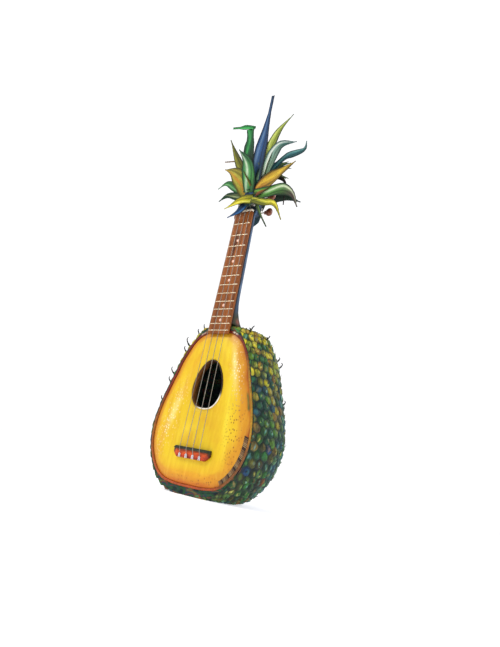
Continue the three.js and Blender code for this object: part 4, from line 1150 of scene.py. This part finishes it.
def leaf_material():
    """Gouache-like blades: long strokes that follow the blade, over the colours held on the mesh."""
    n = Nodes("leaf_paint")
    tint = n.add("ShaderNodeAttribute", attribute_name="tint").outputs["Color"]
    at = n.place((0.42, 0.035, 1), "stroke")
    streak = n.noise(at, 3.2, 4.0, 0.65, 0.4)
    dark = n.mix(n.fall(streak, 0.32, 0.5, 0.65), tint, "0a2420")
    light = n.mix(n.rise(streak, 0.54, 0.68, 0.5), dark, "f4f0b0", "SOFT_LIGHT")
    n.bump(streak, 0.5, 0.8)
    return n.finish(light, n.scaled(streak, 0.3, 0.5), specular=0.22)


def cut_rind_material():
    """The bare edge of the skin: short strokes of navy, dark green, rust and light green."""
    n = Nodes("cut_rind")
    patch = n.noise(n.place((0.5, 0.5, 1)), 110, 2.0, 0.5, 0.5)
    colour = n.ramp(patch, [(0.34, "0c1a28"), (0.43, "12302a"), (0.5, "24502a"), (0.54, "163448"),
                            (0.6, "6a3a1e"), (0.68, "3f7a4a")])
    n.bump(patch, 0.4, 1.0)
    return n.finish(colour, 0.62, specular=0.25)


def flesh_material():
    """The yellow face: soft fibres, broad strokes, and pale dots stippled over the painted highlights and
    rust dots, where the mesh asks for them.
    """
    n = Nodes("face_paint")
    tint = n.add("ShaderNodeAttribute", attribute_name="tint").outputs["Color"]
    stroke = n.add("ShaderNodeAttribute", attribute_name="stroke").outputs["Vector"]
    mask = n.add("ShaderNodeSeparateXYZ", {0: stroke})
    fibre = n.noise(n.place((1, 0.2, 0.14)), 190, 4.0, 0.6, 0.5)
    cloud = n.noise(n.place(), 26, 4.0, 0.6, 0.8)
    colour = n.mix(n.fall(fibre, 0.3, 0.52, 0.28), tint, "c8841a")
    colour = n.mix(n.rise(fibre, 0.55, 0.8, 0.28), colour, "f8e056")
    colour = n.mix(n.rise(cloud, 0.48, 0.7, 0.3), colour, "dc9c1c")
    dots = n.add("ShaderNodeTexVoronoi",
                 {"Vector": n.place((1, 0.3, 0.8)), "Scale": 250.0, "Randomness": 0.75})
    dot = n.ramp(dots.outputs["Distance"], [(0.2, 1.0), (0.34, 0.0)])
    pale = n.math("MULTIPLY", dot, mask.outputs[0])
    rust = n.math("MULTIPLY", dot, mask.outputs[1])
    colour = n.mix(n.math("MULTIPLY", pale, 0.85), colour, "fff6c8")
    colour = n.mix(n.math("MULTIPLY", rust, 0.95), colour, "8a430f")
    n.bump(n.math("ADD", n.math("MULTIPLY", fibre, 0.6), n.math("SUBTRACT", pale, rust)), 0.22)
    return n.finish(colour, n.scaled(cloud, 0.25, 0.34), coat=0.06, specular=0.3)


# ---------------------------------------------------------------- setting
FLOOR_SIZE = 8  # metres from the middle to an edge
STUDIO_GLOW, STUDIO_WHITE = 0.5, 1.1  # how bright the studio is as light, and as seen behind the object


def setting():
    """A pale paper floor that runs into a white studio, with one soft key, a fill and a rim light."""
    n = Nodes("paper_floor")
    tooth = n.noise(n.place(), 300, 3.0, 0.6)
    n.bump(tooth, 0.05)
    n.shader.inputs["Emission Color"].default_value = (0.95, 0.94, 1.0, 1)
    n.shader.inputs["Emission Strength"].default_value = 0.6
    material = n.finish(n.mix(tooth, "fbfafa", "f5f4f6"), 0.9, specular=0.1)
    mesh = bpy.data.meshes.new("floor")
    corners = [(x * FLOOR_SIZE, y * FLOOR_SIZE, 0) for x, y in ((-1, -1), (1, -1), (1, 1), (-1, 1))]
    mesh.from_pydata(corners, [], [(0, 1, 2, 3)])
    mesh.materials.append(material)
    floor = bpy.data.objects.new("floor", mesh)
    bpy.context.scene.collection.objects.link(floor)
    world = bpy.data.worlds.new("studio")
    world.use_nodes = True
    background = world.node_tree.nodes["Background"]
    background.inputs[0].default_value = (0.98, 0.98, 1.0, 1)
    path = world.node_tree.nodes.new("ShaderNodeLightPath")
    strength = world.node_tree.nodes.new("ShaderNodeMapRange")
    strength.inputs["To Min"].default_value = STUDIO_GLOW
    strength.inputs["To Max"].default_value = STUDIO_WHITE
    world.node_tree.links.new(path.outputs["Is Camera Ray"], strength.inputs["Value"])
    world.node_tree.links.new(strength.outputs["Result"], background.inputs[1])
    bpy.context.scene.world = world
    for name, place, power, width, colour in (
            ("key", (-0.75, -1.25, 1.35), 15, 0.7, (1.0, 0.97, 0.92)),
            ("fill", (1.3, -0.9, 0.7), 3, 1.2, (0.9, 0.94, 1.0)),
            ("rim", (0.9, 1.2, 1.1), 6, 0.8, (0.92, 0.95, 1.0))):
        data = bpy.data.lights.new(name, "AREA")
        data.energy, data.size, data.color = power, width, colour
        lamp = bpy.data.objects.new(name, data)
        lamp.location = place
        lamp.rotation_mode = "QUATERNION"
        lamp.rotation_quaternion = (Vector((0, 0, 0.3)) - Vector(place)).to_track_quat("-Z", "Y")
        bpy.context.scene.collection.objects.link(lamp)
    bpy.context.scene.view_settings.view_transform = "Standard"


# ---------------------------------------------------------------- everything put together
def dress(names, material, bevel_mm=0.0):
    """A better material on CAD nodes that stay, and a small bevel on their sharp edges."""
    for name in names:
        obj = NODES[name]
        obj.data.materials.clear()
        obj.data.materials.append(material)
        if bevel_mm:
            bevel = obj.modifiers.new("edge", "BEVEL")
            bevel.width, bevel.segments, bevel.limit_method = bevel_mm * MM, 2, "ANGLE"
            bevel.angle_limit = math.radians(40)


build_rind(painted("rind_paint", 0.55, (1, 1, 0.35), 0.35, 0.55, coat=0.08))
build_bracts(painted("bract_paint", 0.65, (1, 1, 0.3), 0.2, 0.4))
build_dry_bracts(speckled("dry_bract", "16241c", "33321f", 0.7, 400, 0.0))
build_soundboard(flesh_material())
build_binding(painted("trim_paint", 0.45, (1, 1, 1), 0.12, 0.35, coat=0.08))
build_rope_inlay(painted("inlay_paint", 0.5, (1, 1, 1), 0.1, 0.3))
build_hole_liner(painted("liner_paint", 0.55, (0.3, 1, 0.3), 0.15, 0.4))
build_fretboard(wood("rosewood", "54260a", "a85e1e", "z", 0.6, 1.2, 0.5, 0.0),
                metal("fret_metal", "f0e2c4", "b59a6a", 0.25),
                speckled("bone", "f2ead6", "dccfae", 0.4),
                speckled("dot_shell", "f2c8b0", "e0a080", 0.35, 600))
build_bridge(painted("bridge_paint", 0.5, (0.3, 1, 1), 0.15, 0.45),
             wood("saddle_wood", "10180f", "2c3a28", "x", 0.4, 1.5, 0.2),
             speckled("knot_nylon", "e8e8ea", "b8bcc4", 0.3, 900))
build_strings(speckled("nylon", "a39c8c", "6a665e", 0.25, 700, 0.4))
build_knobs(speckled("knob_amber", "8a4420", "4a2214", 0.3, 220, 0.3))
neck_paint = painted("neck_paint", 0.58, (1, 1, 0.12), 0.12, 0.35)
smoothed_copy("neck_wood", "neck", 0.9, 5, neck_paint, neck_colour)
heart_paint = speckled("heart_paint", "122a24", "24422c", 0.6, 160, 0.0)
leaf_paint = leaf_material()
build_crown(leaf_paint, wood("core_wood", "0f2018", "2c3f22", "z", 0.6), heart_paint)
build_crown_fill(leaf_paint)
build_top_scales(painted("scale_paint", 0.65, (1, 1, 0.5), 0.2, 0.5))
plated = metal("nickel", "d6d3cb", "8f8a80", 0.28)
dress([n for n in NODES if n.startswith(("post_bushing", "string_post", "worm_shaft", "tuner_plate"))]
      + ["neck_bolt", "neck_bolt_washer", "crown_pin"], plated, 0.12)
dark_wood = wood("inner_wood", "1c120a", "4a3420", "x", 0.7)
dress(["top_lining", "upper_brace", "lower_brace", "bridge_plate", "back_brace", "head_block", "tail_block"],
      dark_wood, 0.4)
dress(["rind_sides", "rind_back"], cut_rind_material())
setting()
